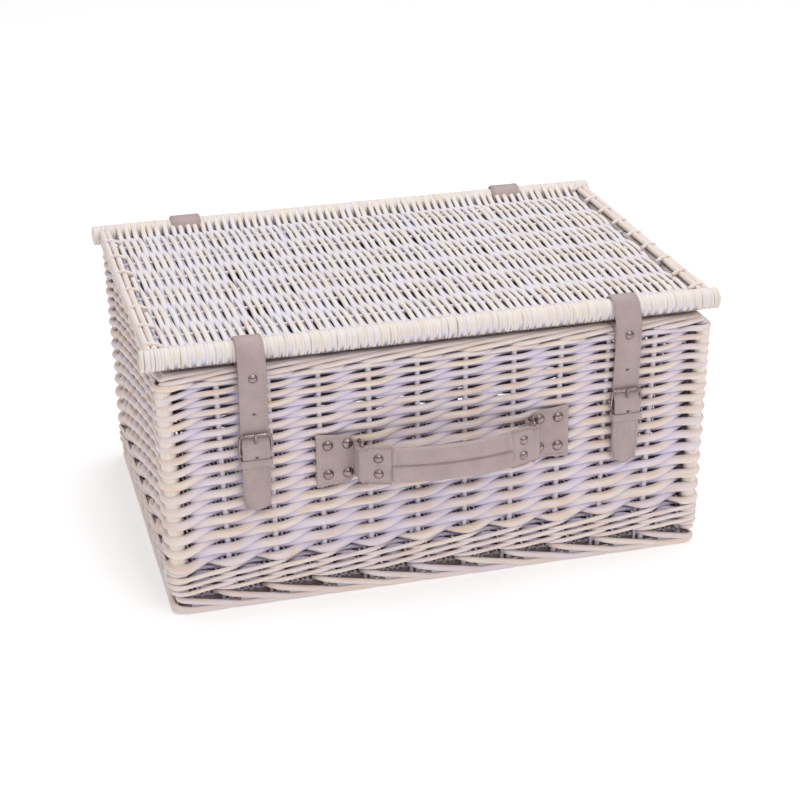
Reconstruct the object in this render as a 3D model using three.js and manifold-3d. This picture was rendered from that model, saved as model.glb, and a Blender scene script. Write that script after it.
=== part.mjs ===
// A wicker picnic hamper: a rectangular willow basket with a woven lid on leather hinges,
// two leather closing straps with buckles, and a leather carrying handle on swinging rings.
// Lengths are in millimetres. +X is the basket's right, +Y its back and +Z up.
import * as THREE from "three";
import { mergeVertices } from "three/addons/utils/BufferGeometryUtils.js";
import Module from "manifold-3d";

const wasm = await Module();
wasm.setup();

// ---- driving dimensions ----
const GAP = 0.3; // clearance that neighbouring pieces keep
const ROUND = 16; // facets round a bore, a rod or a loop
const CUTTER = 60; // length of a cutter, longer than anything it goes through
const CLOSE = 0.15; // gap under a rivet's head
const QUARTER = ROUND / 4; // facets on a quarter turn

const BODY_WIDTH = 437.8; // outside of the woven wall, at the floor
const BODY_DEPTH = 311;
const LEAN_X = 0.007; // how far a side wall leans out per millimetre of height
const LEAN_Y = 0.014; // the same for the front and back walls
const WALL = 14; // thickness of a woven wall
const CORNER = 16; // width of a corner post
const CORNER_RADIUS = 9;

const FOOT_TOP = 15.7; // the foot border stands on the floor
const FOOT_WIDTH = 15;
const FOOT_PROUD = 0.6; // how far the foot stands out of the wall
const BASE_BOTTOM = 7; // the woven floor panel hangs inside the foot border
const BASE_TOP = 13.5;
const WALE_BOTTOM = 16; // the band of upsett waling above the foot
const WALE_TOP = 38;
const WALE_PROUD = 1.5; // how far the waling stands out of the wall
const WALL_BOTTOM = WALE_TOP + GAP;
const WALL_TOP = 194.2;
const BORDER_BOTTOM = 194.5; // the twisted top border
const BORDER_TOP = 202.4;
const BORDER_WIDTH = 443.6;
const BORDER_DEPTH = 319.6;

const LID_WIDTH = 460;
const LID_FRONT = -156.6;
const LID_BACK = 160.7;
const LID_BOTTOM = 204.8;
const RAIL_RADIUS = 8.8; // front and rear edge sticks with their wrapping
const SIDE_BORDER = 12; // width of the lid's left and right borders
const SIDE_BORDER_TOP = 221;
const SIDE_BORDER_ROUND = 3;
const SIDE_OVERHANG = 5; // how far the rails stick out past those borders
const LID_WEAVE = 14; // thickness of the lid's woven panel
const STICK_COUNT = 6;
const STICK_RADIUS = 5;

const STRAP_X = 149; // centre of each closing strap
const STRAP_WIDTH = 21.6;
const STRAP_THICK = 2.2;
const STRAP_RIVET_Z = 197;
const RETURN_THICK = 1.6; // a strap's end that is folded back under the rail
const RETURN_END = 7; // how far that end reaches below the rivet
const BEND_RADIUS = 2.4; // of the bend where a strap comes up behind a rail
const TIP_Z = 87; // the strap's rounded tip
const TONGUE_LENGTH = 30;
const TONGUE_PULL = 12; // how far the tip's curve reaches up the strap's edge
const TONGUE_ROUND = 5; // and along the tip
const HOLE_RADIUS = 1.1;
const HOLES_Z = [167, 133];

const HEEL_Z = 135; // the buckle turns on its heel bar
const TOE_Z = 150; // and the prong rests on its toe bar
const HEEL_BORE = 2; // radius of the leather loop round the heel bar
const HEEL_LOOP = 3.4;
const HEEL_CLEAR = 0.4; // between that loop and the wall
const FRAME_WIRE = 2.2;
const FRAME_LEAN = 2.1; // how far the toe bar stands out past the heel bar
const FRAME_ROUND = 2; // radius of the frame's outer corners
const FRAME_INSIDE = 11.2; // half the clear width between the buckle's legs
const LEG = 1.8;
const TOE_BAR = 3;
const PRONG_WIDTH = 2.6;
const PRONG_WIRE = 1.6;
const PRONG_EYE = 3; // radius of the prong's eye round the heel bar
const PRONG_SLOT = 3.4; // width of the slot it comes through
const PRONG_NOTCH = 3.8; // and of the notch in the leather loop
const BUCKLE_STRAP_WIDTH = 21;
const BUCKLE_STRAP_BOTTOM = 89;
const BUCKLE_STRAP_OUT = 2.7; // its middle, from the wall
const KEEPER_BOTTOM = 125.5;
const KEEPER_TOP = 131;
const KEEPER_WALL = 1;
const KEEPER_BACK = 0.25; // from the wall to the keeper
const KEEPER_ROOM = 3.9; // from the strap to the keeper's front
const KEEPER_ROUND = 2;

const HINGE_X = 148; // centre of each leather lid hinge
const HINGE_WIDTH = 26;
const HINGE_THICK = 2;
const HINGE_BOTTOM = 176;
const HINGE_RIVET_Z = 186;

const HANDLE_Z = 119.7; // height of the handle's middle
const PLATE_INSIDE = 71.2; // inner edge of a handle plate, from the middle
const PLATE_OUTSIDE = 102;
const PLATE_HEIGHT = 45;
const PLATE_THICK = 2.4;
const PLATE_RIVETS_X = [77.5, 93];
const PLATE_RIVETS_Z = [-11.5, 13]; // from the handle's middle height
const RING_X = 69;
const RING_AXIS_Y = -162.3; // the ring's inner bar, held in the plate's fold
const RING_WIRE = 2.4;
const RING_ROUND = 2.6;
const RING_PLAY = 0.5; // between the ring's wire and the leather loops' ends
const LOOP_BORE = 2;
const LOOP_RADIUS = 3.8;
const LOOP_HEIGHT = 30;
const ARCH_RADIUS = 192; // the handle is bent to this radius, seen from above
const ARCH_FRONT = -187; // the middle of the handle's arch
const CORE_THICK = 3;
const CORE_HEIGHT = 23.5;
const TAB_THICK = 4.4;
const TAB_HEIGHT = 33;
const TAB_END = 2.7; // from the ring's middle to a tab's end, inside the loop's leather
const GRIP_ENDS_X = 46.5;
const GRIP_HEIGHT = 29.5;
const GRIP_BACK = 3.5; // thickness of the grip behind and before the arch line
const GRIP_FRONT = 4.5;
const GRIP_GAP = 1; // between a tab and the grip
const TAB_RIVET_X = 57.5;
const TAB_RIVETS_Z = [-6.5, 6.5];

const RIVET_SHANK = 1.3;
const PLATE_RIVET_HEAD = 4.3;
const TAB_RIVET_HEAD = 3.7;
const SMALL_RIVET_HEAD = 3.6;
const DOME = 2.6; // height of a rivet's dome
const TAIL = 1.1; // thickness of a rivet's closed end
const TAIL_SUNK = 0.2; // how deep the closing strap's rivet ends in the leather
const STRAP_TAIL = 2.4; // radius of that rivet's closed end

// ---- materials ----
const willow = new THREE.MeshStandardMaterial({ color: 0xd9cdc4, roughness: 0.8, metalness: 0 });
const paleStick = new THREE.MeshStandardMaterial({ color: 0xe8ddca, roughness: 0.75, metalness: 0 });
const leather = new THREE.MeshStandardMaterial({ color: 0xb09f9a, roughness: 0.55, metalness: 0 });
const nickel = new THREE.MeshStandardMaterial({ color: 0xb9b4b2, roughness: 0.22, metalness: 1 });

// ---- places worked out from the dimensions ----
const wallX = (z) => BODY_WIDTH / 2 + LEAN_X * z;
const wallY = (z) => BODY_DEPTH / 2 + LEAN_Y * z;
const railZ = LID_BOTTOM + RAIL_RADIUS;
const frontRailY = LID_FRONT + RAIL_RADIUS;
const rearRailY = LID_BACK - RAIL_RADIUS;
const lidMiddleX = LID_WIDTH / 2 - SIDE_OVERHANG - SIDE_BORDER;
const archCentreY = ARCH_FRONT + ARCH_RADIUS;
const ringReachY = archCentreY - Math.sqrt(ARCH_RADIUS ** 2 - RING_X ** 2);

const V2 = (x, y) => new THREE.Vector2(x, y);

// ---- solids and booleans ----
function solid(geometry) {
  const bare = geometry.index ? geometry.toNonIndexed() : geometry.clone();
  bare.deleteAttribute("normal");
  bare.deleteAttribute("uv");
  const merged = mergeVertices(bare, 1e-4);
  return new wasm.Manifold(
    new wasm.Mesh({
      numProp: 3,
      vertProperties: merged.attributes.position.array,
      triVerts: new Uint32Array(merged.index.array),
    }),
  );
}

function geometryOf(manifold) {
  const mesh = manifold.getMesh();
  const geometry = new THREE.BufferGeometry();
  geometry.setAttribute("position", new THREE.BufferAttribute(mesh.vertProperties, 3));
  geometry.setIndex(new THREE.BufferAttribute(mesh.triVerts, 1));
  geometry.computeVertexNormals();
  return geometry;
}

const joined = (first, ...others) =>
  geometryOf(others.reduce((whole, other) => whole.add(solid(other)), solid(first)));

const without = (first, ...cutters) =>
  geometryOf(cutters.reduce((whole, cutter) => whole.subtract(solid(cutter)), solid(first)));

const common = (first, second) => geometryOf(solid(first).intersect(solid(second)));

// ---- extrusions along each axis ----
function extruded(shape, length, segments = QUARTER / 2) {
  const options = { depth: length, bevelEnabled: false, curveSegments: segments };
  return new THREE.ExtrudeGeometry(shape, options);
}

// A shape drawn in X and Y, raised from z0 to z1.
const alongZ = (shape, z0, z1, segments) =>
  extruded(shape, z1 - z0, segments).translate(0, 0, z0);

// A shape drawn in Y and Z, as wide as width and centred on x.
function alongX(shape, width, x) {
  const turn = new THREE.Matrix4().makeBasis(
    new THREE.Vector3(0, 1, 0),
    new THREE.Vector3(0, 0, 1),
    new THREE.Vector3(1, 0, 0),
  );
  return extruded(shape, width).translate(0, 0, -width / 2).applyMatrix4(turn).translate(x, 0, 0);
}

// A shape drawn in X and Z, as deep as depth and centred on y.
function alongY(shape, depth, y) {
  return extruded(shape, depth)
    .translate(0, 0, -depth / 2)
    .rotateX(Math.PI / 2)
    .translate(0, y, 0);
}

const box = (x0, x1, y0, y1, z0, z1) =>
  new THREE.BoxGeometry(x1 - x0, y1 - y0, z1 - z0).translate(
    (x0 + x1) / 2,
    (y0 + y1) / 2,
    (z0 + z1) / 2,
  );

const rod = (radius, length) => new THREE.CylinderGeometry(radius, radius, length, ROUND);
const rodX = (radius, length, y, z) => rod(radius, length).rotateZ(Math.PI / 2).translate(0, y, z);
const rodY = (radius, length, x, y, z) => rod(radius, length).translate(x, y, z);

// A rectangle with rounded corners, centred on x and y, drawn as a shape or as a hole.
function roundedRectangle(halfX, halfY, radius, x = 0, y = 0, outline = new THREE.Shape()) {
  const corners = [[1, 1], [-1, 1], [-1, -1], [1, -1]];
  corners.forEach(([sideX, sideY], i) => {
    const centreX = x + sideX * (halfX - radius);
    const centreY = y + sideY * (halfY - radius);
    outline.absarc(centreX, centreY, radius, (i * Math.PI) / 2, ((i + 1) * Math.PI) / 2);
  });
  return outline;
}

function roundedRing(halfX, halfY, radius, wide) {
  const ring = roundedRectangle(halfX, halfY, radius);
  const inside = Math.max(radius - wide, 1);
  ring.holes.push(roundedRectangle(halfX - wide, halfY - wide, inside, 0, 0, new THREE.Path()));
  return ring;
}

function annulus(x, y, outer, inner) {
  const shape = roundedRectangle(outer, outer, outer, x, y);
  shape.holes.push(roundedRectangle(inner, inner, inner, x, y, new THREE.Path()));
  return shape;
}

// A strip of even thickness that follows a line of points.
function ribbon(points, thick) {
  const sides = [1, -1].map((side) =>
    points.map((point, i) => {
      const before = points[Math.max(i - 1, 0)];
      const after = points[Math.min(i + 1, points.length - 1)];
      const way = after.clone().sub(before).normalize();
      return V2(point.x - (side * way.y * thick) / 2, point.y + (side * way.x * thick) / 2);
    }),
  );
  return new THREE.Shape([...sides[0], ...sides[1].reverse()]);
}

// Points on an arc in the Y and Z plane, angles in degrees from +Y towards +Z.
function arcPoints(y, z, radius, from, to, steps) {
  return Array.from({ length: steps + 1 }, (_, i) => {
    const angle = THREE.MathUtils.degToRad(from + ((to - from) * i) / steps);
    return V2(y + radius * Math.cos(angle), z + radius * Math.sin(angle));
  });
}

// Leans a wall piece outwards: every point moves out in step with its height.
function leaning(geometry) {
  const place = geometry.attributes.position;
  for (let i = 0; i < place.count; i++) {
    const z = place.getZ(i);
    place.setX(i, place.getX(i) + Math.sign(place.getX(i)) * LEAN_X * z);
    place.setY(i, place.getY(i) + Math.sign(place.getY(i)) * LEAN_Y * z);
  }
  return geometry;
}

// A dome-headed rivet on the Y axis: head towards -Y from y = 0, closed end past length.
function rivet(headRadius, length, tailRadius = headRadius) {
  const profile = [V2(0, -length - TAIL), V2(tailRadius, -length - TAIL), V2(tailRadius, -length)];
  profile.push(V2(RIVET_SHANK, -length), V2(RIVET_SHANK, 0), V2(headRadius, 0));
  for (const angle of [25, 50, 72]) {
    const turn = THREE.MathUtils.degToRad(angle);
    profile.push(V2(headRadius * Math.cos(turn), DOME * Math.sin(turn)));
  }
  profile.push(V2(0, DOME));
  return new THREE.LatheGeometry(profile, 10).rotateZ(Math.PI);
}

// ---- assembly helpers ----
const hamper = new THREE.Group();

function add(parent, name, geometry, material) {
  const mesh = new THREE.Mesh(geometry, material);
  mesh.name = name;
  parent.add(mesh);
  return mesh;
}

// ---- woven body ----
function addBase() {
  const halfX = BODY_WIDTH / 2 + FOOT_PROUD;
  const halfY = BODY_DEPTH / 2 + FOOT_PROUD;
  const foot = roundedRing(halfX, halfY, CORNER_RADIUS, FOOT_WIDTH);
  add(hamper, "foot_border", alongZ(foot, 0, FOOT_TOP), willow);
  const inset = FOOT_WIDTH + GAP;
  const floor = roundedRectangle(halfX - inset, halfY - inset, 1);
  add(hamper, "base_panel", alongZ(floor, BASE_BOTTOM, BASE_TOP), willow);
}

function addWale() {
  const halfX = wallX(WALE_BOTTOM) + WALE_PROUD;
  const halfY = wallY(WALE_BOTTOM) + WALE_PROUD;
  const ring = roundedRing(halfX, halfY, CORNER_RADIUS, WALL + WALE_PROUD);
  add(hamper, "upsett_wale", alongZ(ring, WALE_BOTTOM, WALE_TOP), willow);
}

function addTopBorder() {
  const width = (BORDER_DEPTH - BODY_DEPTH) / 2 + WALL;
  const ring = roundedRing(BORDER_WIDTH / 2, BORDER_DEPTH / 2, CORNER_RADIUS, width);
  add(hamper, "top_border", alongZ(ring, BORDER_BOTTOM, BORDER_TOP), willow);
}

function addLongWalls() {
  const halfX = BODY_WIDTH / 2 - CORNER - GAP;
  const outer = BODY_DEPTH / 2;
  const holes = plateRivetPlaces().map(([x, z]) => rodY(RIVET_SHANK + GAP, CUTTER, x, -outer, z));
  const front = leaning(box(-halfX, halfX, -outer, -outer + WALL, WALL_BOTTOM, WALL_TOP));
  add(hamper, "front_wall", without(front, ...holes), willow);
  const back = leaning(box(-halfX, halfX, outer - WALL, outer, WALL_BOTTOM, WALL_TOP));
  const hingeHoles = [-HINGE_X, HINGE_X].map((x) =>
    rodY(RIVET_SHANK + GAP, CUTTER, x, outer, HINGE_RIVET_Z),
  );
  add(hamper, "back_wall", without(back, ...hingeHoles), willow);
}

function addSideWalls() {
  const outer = BODY_WIDTH / 2;
  const halfY = BODY_DEPTH / 2 - CORNER - GAP;
  const right = box(outer - WALL, outer, -halfY, halfY, WALL_BOTTOM, WALL_TOP);
  add(hamper, "right_wall", leaning(right), willow);
  const left = box(-outer, -outer + WALL, -halfY, halfY, WALL_BOTTOM, WALL_TOP);
  add(hamper, "left_wall", leaning(left), willow);
}

function addCornerPosts() {
  const outline = new THREE.Shape();
  const farX = BODY_WIDTH / 2;
  const farY = BODY_DEPTH / 2;
  outline.moveTo(farX - CORNER, farY - CORNER);
  outline.lineTo(farX, farY - CORNER);
  outline.absarc(farX - CORNER_RADIUS, farY - CORNER_RADIUS, CORNER_RADIUS, 0, Math.PI / 2);
  outline.lineTo(farX - CORNER, farY);
  for (const [front, y] of [["front", -1], ["back", 1]]) {
    for (const [side, x] of [["left", -1], ["right", 1]]) {
      const post = leaning(alongZ(outline, WALL_BOTTOM, WALL_TOP));
      add(hamper, `corner_post_${front}_${side}`, post, paleStick).scale.set(x, y, 1);
    }
  }
}

// ---- lid ----
function addRails() {
  const front = rodX(RAIL_RADIUS, LID_WIDTH, frontRailY, railZ);
  add(hamper, "lid_front_rail", front, willow);
  const rear = rodX(RAIL_RADIUS, LID_WIDTH, rearRailY, railZ);
  add(hamper, "lid_rear_rail", rear, willow);
}

function addLidPanel() {
  const front = LID_FRONT + 2 * RAIL_RADIUS + GAP;
  const back = LID_BACK - 2 * RAIL_RADIUS - GAP;
  const half = LID_WEAVE / 2;
  const panel = box(-lidMiddleX + GAP, lidMiddleX - GAP, front, back, railZ - half, railZ + half);
  const pitch = (rearRailY - frontRailY) / (STICK_COUNT + 1);
  const sticksY = Array.from({ length: STICK_COUNT }, (_, i) => frontRailY + pitch * (i + 1));
  const tunnels = sticksY.map((y) => rodX(STICK_RADIUS + GAP, LID_WIDTH, y, railZ));
  const strapSlots = [-STRAP_X, STRAP_X].map((x) =>
    alongX(roundedRectangle(STRAP_THICK + GAP, LID_WEAVE, 1), STRAP_WIDTH + 2 * GAP, x)
      .translate(0, front, railZ),
  );
  const hingeSlots = [-HINGE_X, HINGE_X].map((x) =>
    alongX(roundedRectangle(HINGE_THICK + GAP, LID_WEAVE, 1), HINGE_WIDTH + 2 * GAP, x)
      .translate(0, back, railZ),
  );
  add(hamper, "lid_weave", without(panel, ...tunnels, ...strapSlots, ...hingeSlots), willow);
  sticksY.forEach((y, i) => {
    const length = 2 * (lidMiddleX - GAP);
    add(hamper, `lid_stick_${i + 1}`, rodX(STICK_RADIUS, length, y, railZ), paleStick);
  });
}

function addLidBorders() {
  const front = LID_FRONT + 2 * RAIL_RADIUS + GAP;
  const back = LID_BACK - 2 * RAIL_RADIUS - GAP;
  const halfHeight = (SIDE_BORDER_TOP - LID_BOTTOM) / 2;
  const outline = roundedRectangle(SIDE_BORDER / 2, halfHeight, SIDE_BORDER_ROUND);
  for (const [side, x] of [["left", -1], ["right", 1]]) {
    const border = alongY(outline, back - front, (front + back) / 2);
    const middle = lidMiddleX + SIDE_BORDER / 2;
    const place = [x * middle, 0, LID_BOTTOM + halfHeight];
    add(hamper, `lid_${side}_border`, border.translate(...place), paleStick);
  }
}

// ---- closing straps and buckles ----
const heelY = -wallY(HEEL_Z) - HEEL_LOOP - HEEL_CLEAR;
const toeY = heelY - FRAME_LEAN;
const returnY = -BORDER_DEPTH / 2 - GAP - RETURN_THICK / 2; // folded-back end, before the border
const coverY = returnY - RETURN_THICK / 2 - GAP - STRAP_THICK / 2; // the strap in front of it
const buckleStrapY = -wallY(HEEL_Z) - BUCKLE_STRAP_OUT; // middle of the buckle's own strap
const tongueY = buckleStrapY - STRAP_THICK - GAP; // middle of the strap lying on it

// The strap's line, seen from the side: from its folded-back end, under and over the lid's
// front rail, down past the border, behind the toe bar, over the heel bar and to its tip.
function strapLine() {
  const under = BORDER_TOP + GAP + RETURN_THICK / 2;
  const cornerY = -BORDER_DEPTH / 2;
  const wrap = RAIL_RADIUS + GAP + STRAP_THICK / 2;
  const behindY = frontRailY + wrap;
  const returning = [
    V2(returnY, STRAP_RIVET_Z - RETURN_END),
    V2(returnY, BORDER_TOP - 2),
    ...arcPoints(cornerY, BORDER_TOP, GAP + RETURN_THICK / 2, 180, 90, 4),
    ...arcPoints(behindY - BEND_RADIUS, under + BEND_RADIUS, BEND_RADIUS, -90, 0, 4),
  ];
  const overRail = [V2(behindY, under + 1), ...arcPoints(frontRailY, railZ, wrap, 0, 156, 12)];
  const hanging = new THREE.SplineCurve([
    V2(coverY, BORDER_TOP - 1),
    V2(coverY, STRAP_RIVET_Z - 6),
    V2((coverY + toeY) / 2 + 1.6, (STRAP_RIVET_Z + TOE_Z) / 2),
    V2(toeY + 3, TOE_Z + 4),
    V2(toeY + 3, TOE_Z - 1.8),
    V2(toeY + 1.2, TOE_Z - 5.5),
    V2(heelY - 4.3, HEEL_Z + 5.5),
    V2(heelY - 4.9, HEEL_Z + 2),
    V2(heelY - 4.8, HEEL_Z - 1.5),
    V2(tongueY - 1.6, HEEL_Z - 7),
    V2(tongueY - 0.2, HEEL_Z - 14),
    V2(tongueY, HEEL_Z - 20),
    V2(tongueY, TIP_Z),
  ]);
  const bend = [V2(coverY + 1.5, BORDER_TOP + 3.2)];
  return { returning, front: [...overRail, ...bend, ...hanging.getPoints(32)] };
}

// The strap's outline from the front: straight edges that close to a rounded tongue.
function tongueOutline() {
  const half = STRAP_WIDTH / 2;
  const start = TIP_Z + TONGUE_LENGTH;
  const top = LID_BOTTOM + CUTTER;
  const shape = new THREE.Shape();
  shape.moveTo(-half, top);
  shape.lineTo(-half, start);
  shape.bezierCurveTo(-half, TIP_Z + TONGUE_PULL, -TONGUE_ROUND, TIP_Z, 0, TIP_Z);
  shape.bezierCurveTo(TONGUE_ROUND, TIP_Z, half, TIP_Z + TONGUE_PULL, half, start);
  shape.lineTo(half, top);
  return shape;
}

function closingStrap() {
  const line = strapLine();
  const back = alongX(ribbon(line.returning, RETURN_THICK), STRAP_WIDTH, 0);
  const front = alongX(ribbon(line.front, STRAP_THICK), STRAP_WIDTH, 0);
  const shaped = common(joined(back, front), alongY(tongueOutline(), 120, frontRailY));
  const half = PRONG_SLOT / 2;
  const slot = box(-half, half, heelY - CUTTER, heelY + 6, HEEL_Z + 5.2, TOE_Z - 2);
  const holes = HOLES_Z.map((z) => rodY(HOLE_RADIUS, CUTTER, 0, coverY, z));
  const rivetHole = rodY(RIVET_SHANK + GAP, CUTTER, 0, coverY, STRAP_RIVET_Z);
  const room = rodY(STRAP_TAIL + GAP, 2 * (TAIL + TAIL_SUNK), 0, returnY + RETURN_THICK / 2, STRAP_RIVET_Z);
  return without(shaped, slot, ...holes, rivetHole, room);
}

// The strap that is fixed to the wall: its top end is looped round the buckle's heel bar,
// with a notch in the middle for the prong.
function buckleStrap() {
  const half = BUCKLE_STRAP_WIDTH / 2;
  const back = buckleStrapY + STRAP_THICK / 2;
  const flat = box(-half, half, back - STRAP_THICK, back, BUCKLE_STRAP_BOTTOM, HEEL_Z - HEEL_BORE);
  const ring = annulus(heelY, HEEL_Z, HEEL_LOOP, HEEL_BORE);
  const loop = alongX(ring, BUCKLE_STRAP_WIDTH, 0);
  const notch = rodX(HEEL_LOOP + 1, PRONG_NOTCH, heelY, HEEL_Z);
  return without(joined(flat, loop), rodX(HEEL_BORE, CUTTER, heelY, HEEL_Z), notch);
}

function keeper() {
  const back = -wallY(HEEL_Z) - KEEPER_BACK;
  const front = tongueY - STRAP_THICK / 2 - KEEPER_ROOM;
  const halfX = STRAP_WIDTH / 2 + 2 * GAP + KEEPER_WALL;
  const band = roundedRing(halfX, (back - front) / 2, KEEPER_ROUND, KEEPER_WALL);
  return alongZ(band, KEEPER_BOTTOM, KEEPER_TOP).translate(0, (back + front) / 2, 0);
}

// The buckle's frame stands on the heel bar and leans out to the toe bar.
function buckleFrame() {
  const tall = Math.hypot(toeY - heelY, TOE_Z - HEEL_Z);
  const outside = FRAME_INSIDE + LEG;
  const low = -FRAME_WIRE / 2;
  const high = tall + TOE_BAR / 2;
  const shape = roundedRectangle(outside, (high - low) / 2, FRAME_ROUND, 0, (low + high) / 2);
  const clear = (tall - FRAME_WIRE / 2 - TOE_BAR / 2) / 2;
  const middle = FRAME_WIRE / 2 + clear;
  shape.holes.push(roundedRectangle(FRAME_INSIDE, clear, 0.8, 0, middle, new THREE.Path()));
  const lean = Math.atan2(toeY - heelY, TOE_Z - HEEL_Z);
  return alongY(shape, FRAME_WIRE, 0).rotateX(-lean).translate(0, heelY, HEEL_Z);
}

function prong() {
  const eye = alongX(annulus(heelY, HEEL_Z, PRONG_EYE, HEEL_BORE), PRONG_WIDTH, 0);
  const line = new THREE.SplineCurve([
    V2(heelY - 1.1, HEEL_Z + 2.4),
    V2(heelY - 1.5, HEEL_Z + 5),
    V2(heelY - 2.6, HEEL_Z + 9),
    V2(toeY - 2.2, TOE_Z - 2),
    V2(toeY - 2.5, TOE_Z + 2.2),
  ]);
  return joined(eye, alongX(ribbon(line.getPoints(12), PRONG_WIRE), PRONG_WIDTH, 0));
}

function addClosure(side, sign) {
  const group = new THREE.Group();
  group.position.x = sign * STRAP_X;
  hamper.add(group);
  add(group, `closing_strap_${side}`, closingStrap(), leather);
  add(group, `buckle_strap_${side}`, buckleStrap(), leather);
  add(group, `strap_keeper_${side}`, keeper(), leather);
  add(group, `buckle_frame_${side}`, buckleFrame(), nickel);
  add(group, `buckle_prong_${side}`, prong(), nickel);
  const length = STRAP_THICK + GAP + RETURN_THICK - TAIL + TAIL_SUNK;
  const head = rivet(SMALL_RIVET_HEAD, length, STRAP_TAIL);
  const fastener = add(group, `strap_rivet_${side}`, head, nickel);
  fastener.position.set(0, coverY - STRAP_THICK / 2 - CLOSE, STRAP_RIVET_Z);
}

// ---- leather lid hinges ----
// A hinge strap is looped round the lid's rear rail, and both its ends lie on the back wall.
function hingeStrap() {
  const under = BORDER_TOP + GAP + RETURN_THICK / 2;
  const cornerY = BORDER_DEPTH / 2;
  const inner = cornerY + GAP + RETURN_THICK / 2;
  const outer = inner + RETURN_THICK / 2 + GAP + HINGE_THICK / 2;
  const wrap = RAIL_RADIUS + GAP + HINGE_THICK / 2;
  const back = [
    V2(inner, HINGE_BOTTOM),
    ...arcPoints(cornerY, BORDER_TOP, GAP + RETURN_THICK / 2, 0, 90, 4),
    ...arcPoints(rearRailY - wrap + BEND_RADIUS, under + BEND_RADIUS, BEND_RADIUS, 270, 180, 4),
  ];
  const over = [
    V2(rearRailY - wrap, under + 1),
    ...arcPoints(rearRailY, railZ, wrap, 180, 18, 12),
    V2(outer, BORDER_TOP + 5),
    V2(outer, BORDER_TOP),
    V2(outer, HINGE_BOTTOM),
  ];
  const loop = joined(
    alongX(ribbon(back, RETURN_THICK), HINGE_WIDTH, 0),
    alongX(ribbon(over, HINGE_THICK), HINGE_WIDTH, 0),
  );
  return { loop: without(loop, rodY(RIVET_SHANK + GAP, CUTTER, 0, outer, HINGE_RIVET_Z)), outer };
}

function addHinge(side, sign) {
  const { loop, outer } = hingeStrap();
  add(hamper, `hinge_strap_${side}`, loop, leather).position.x = sign * HINGE_X;
  const face = outer + HINGE_THICK / 2 + CLOSE;
  const length = face - wallY(HINGE_RIVET_Z) + WALL + GAP;
  const fastener = add(hamper, `hinge_rivet_${side}`, rivet(SMALL_RIVET_HEAD, length), nickel);
  fastener.rotation.z = Math.PI;
  fastener.position.set(sign * HINGE_X, face, HINGE_RIVET_Z);
}

// ---- handle ----
function plateRivetPlaces() {
  const places = [];
  for (const sign of [-1, 1])
    for (const x of PLATE_RIVETS_X)
      for (const z of PLATE_RIVETS_Z) places.push([sign * x, HANDLE_Z + z]);
  return places;
}

const plateBack = -wallY(HANDLE_Z + PLATE_HEIGHT / 2) - GAP;

// A leather plate on the wall, folded at its inner edge round the ring's inner bar.
function handlePlate() {
  const bottom = HANDLE_Z - PLATE_HEIGHT / 2;
  const y0 = plateBack - PLATE_THICK;
  const flat = box(PLATE_INSIDE, PLATE_OUTSIDE, y0, plateBack, bottom, bottom + PLATE_HEIGHT);
  const fold = alongZ(
    annulus(RING_X, RING_AXIS_Y, LOOP_RADIUS, LOOP_BORE),
    HANDLE_Z - LOOP_HEIGHT / 2,
    HANDLE_Z + LOOP_HEIGHT / 2,
  );
  const holes = PLATE_RIVETS_X.flatMap((x) =>
    PLATE_RIVETS_Z.map((z) => rodY(RIVET_SHANK + GAP, CUTTER, x, plateBack, HANDLE_Z + z)),
  );
  return without(joined(flat, fold), ...holes);
}

// A rectangular wire ring that stands out from the wall.
function handleRing() {
  const middleY = (RING_AXIS_Y + ringReachY) / 2;
  const halfY = (RING_AXIS_Y - ringReachY) / 2 + RING_WIRE / 2;
  const halfZ = LOOP_HEIGHT / 2 + RING_PLAY + RING_WIRE;
  const ring = roundedRing(halfY, halfZ, RING_ROUND, RING_WIRE);
  return alongX(ring, RING_WIRE, RING_X).translate(0, middleY, HANDLE_Z);
}

// A band along the handle's arch, between two radii and two distances from the middle.
function archBand(behind, before, fromX, toX, height) {
  const inner = ARCH_RADIUS - behind;
  const outer = ARCH_RADIUS + before;
  const start = Math.asin(fromX / ARCH_RADIUS) - Math.PI / 2;
  const end = Math.asin(toX / ARCH_RADIUS) - Math.PI / 2;
  const shape = new THREE.Shape();
  shape.absarc(0, archCentreY, outer, start, end, false);
  shape.absarc(0, archCentreY, inner, end, start, true);
  return alongZ(shape, HANDLE_Z - height / 2, HANDLE_Z + height / 2, 6);
}

// The long strap inside the handle: an arched core with a thick tab and a loop at each end.
function handleStrap() {
  const endX = RING_X - TAB_END;
  const half = TAB_THICK / 2;
  const core = archBand(CORE_THICK / 2, CORE_THICK / 2, -endX, endX, CORE_HEIGHT);
  const tabs = [
    archBand(half, half, GRIP_ENDS_X + GRIP_GAP, endX, TAB_HEIGHT),
    archBand(half, half, -endX, -GRIP_ENDS_X - GRIP_GAP, TAB_HEIGHT),
  ];
  const low = HANDLE_Z - LOOP_HEIGHT / 2;
  const loops = [-RING_X, RING_X].map((x) =>
    alongZ(annulus(x, ringReachY, LOOP_RADIUS, LOOP_BORE), low, low + LOOP_HEIGHT),
  );
  const holes = tabRivetPlaces().map(({ x, y, z, turn }) =>
    rod(RIVET_SHANK + GAP, CUTTER / 3).rotateZ(turn).translate(x, y, z),
  );
  return without(joined(core, ...tabs, ...loops), ...holes);
}

function tabRivetPlaces() {
  const y = archCentreY - Math.sqrt(ARCH_RADIUS ** 2 - TAB_RIVET_X ** 2);
  const turn = Math.asin(TAB_RIVET_X / ARCH_RADIUS);
  return [-1, 1].flatMap((sign) =>
    TAB_RIVETS_Z.map((z) => ({ x: sign * TAB_RIVET_X, y, z: HANDLE_Z + z, turn: sign * turn })),
  );
}

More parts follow.
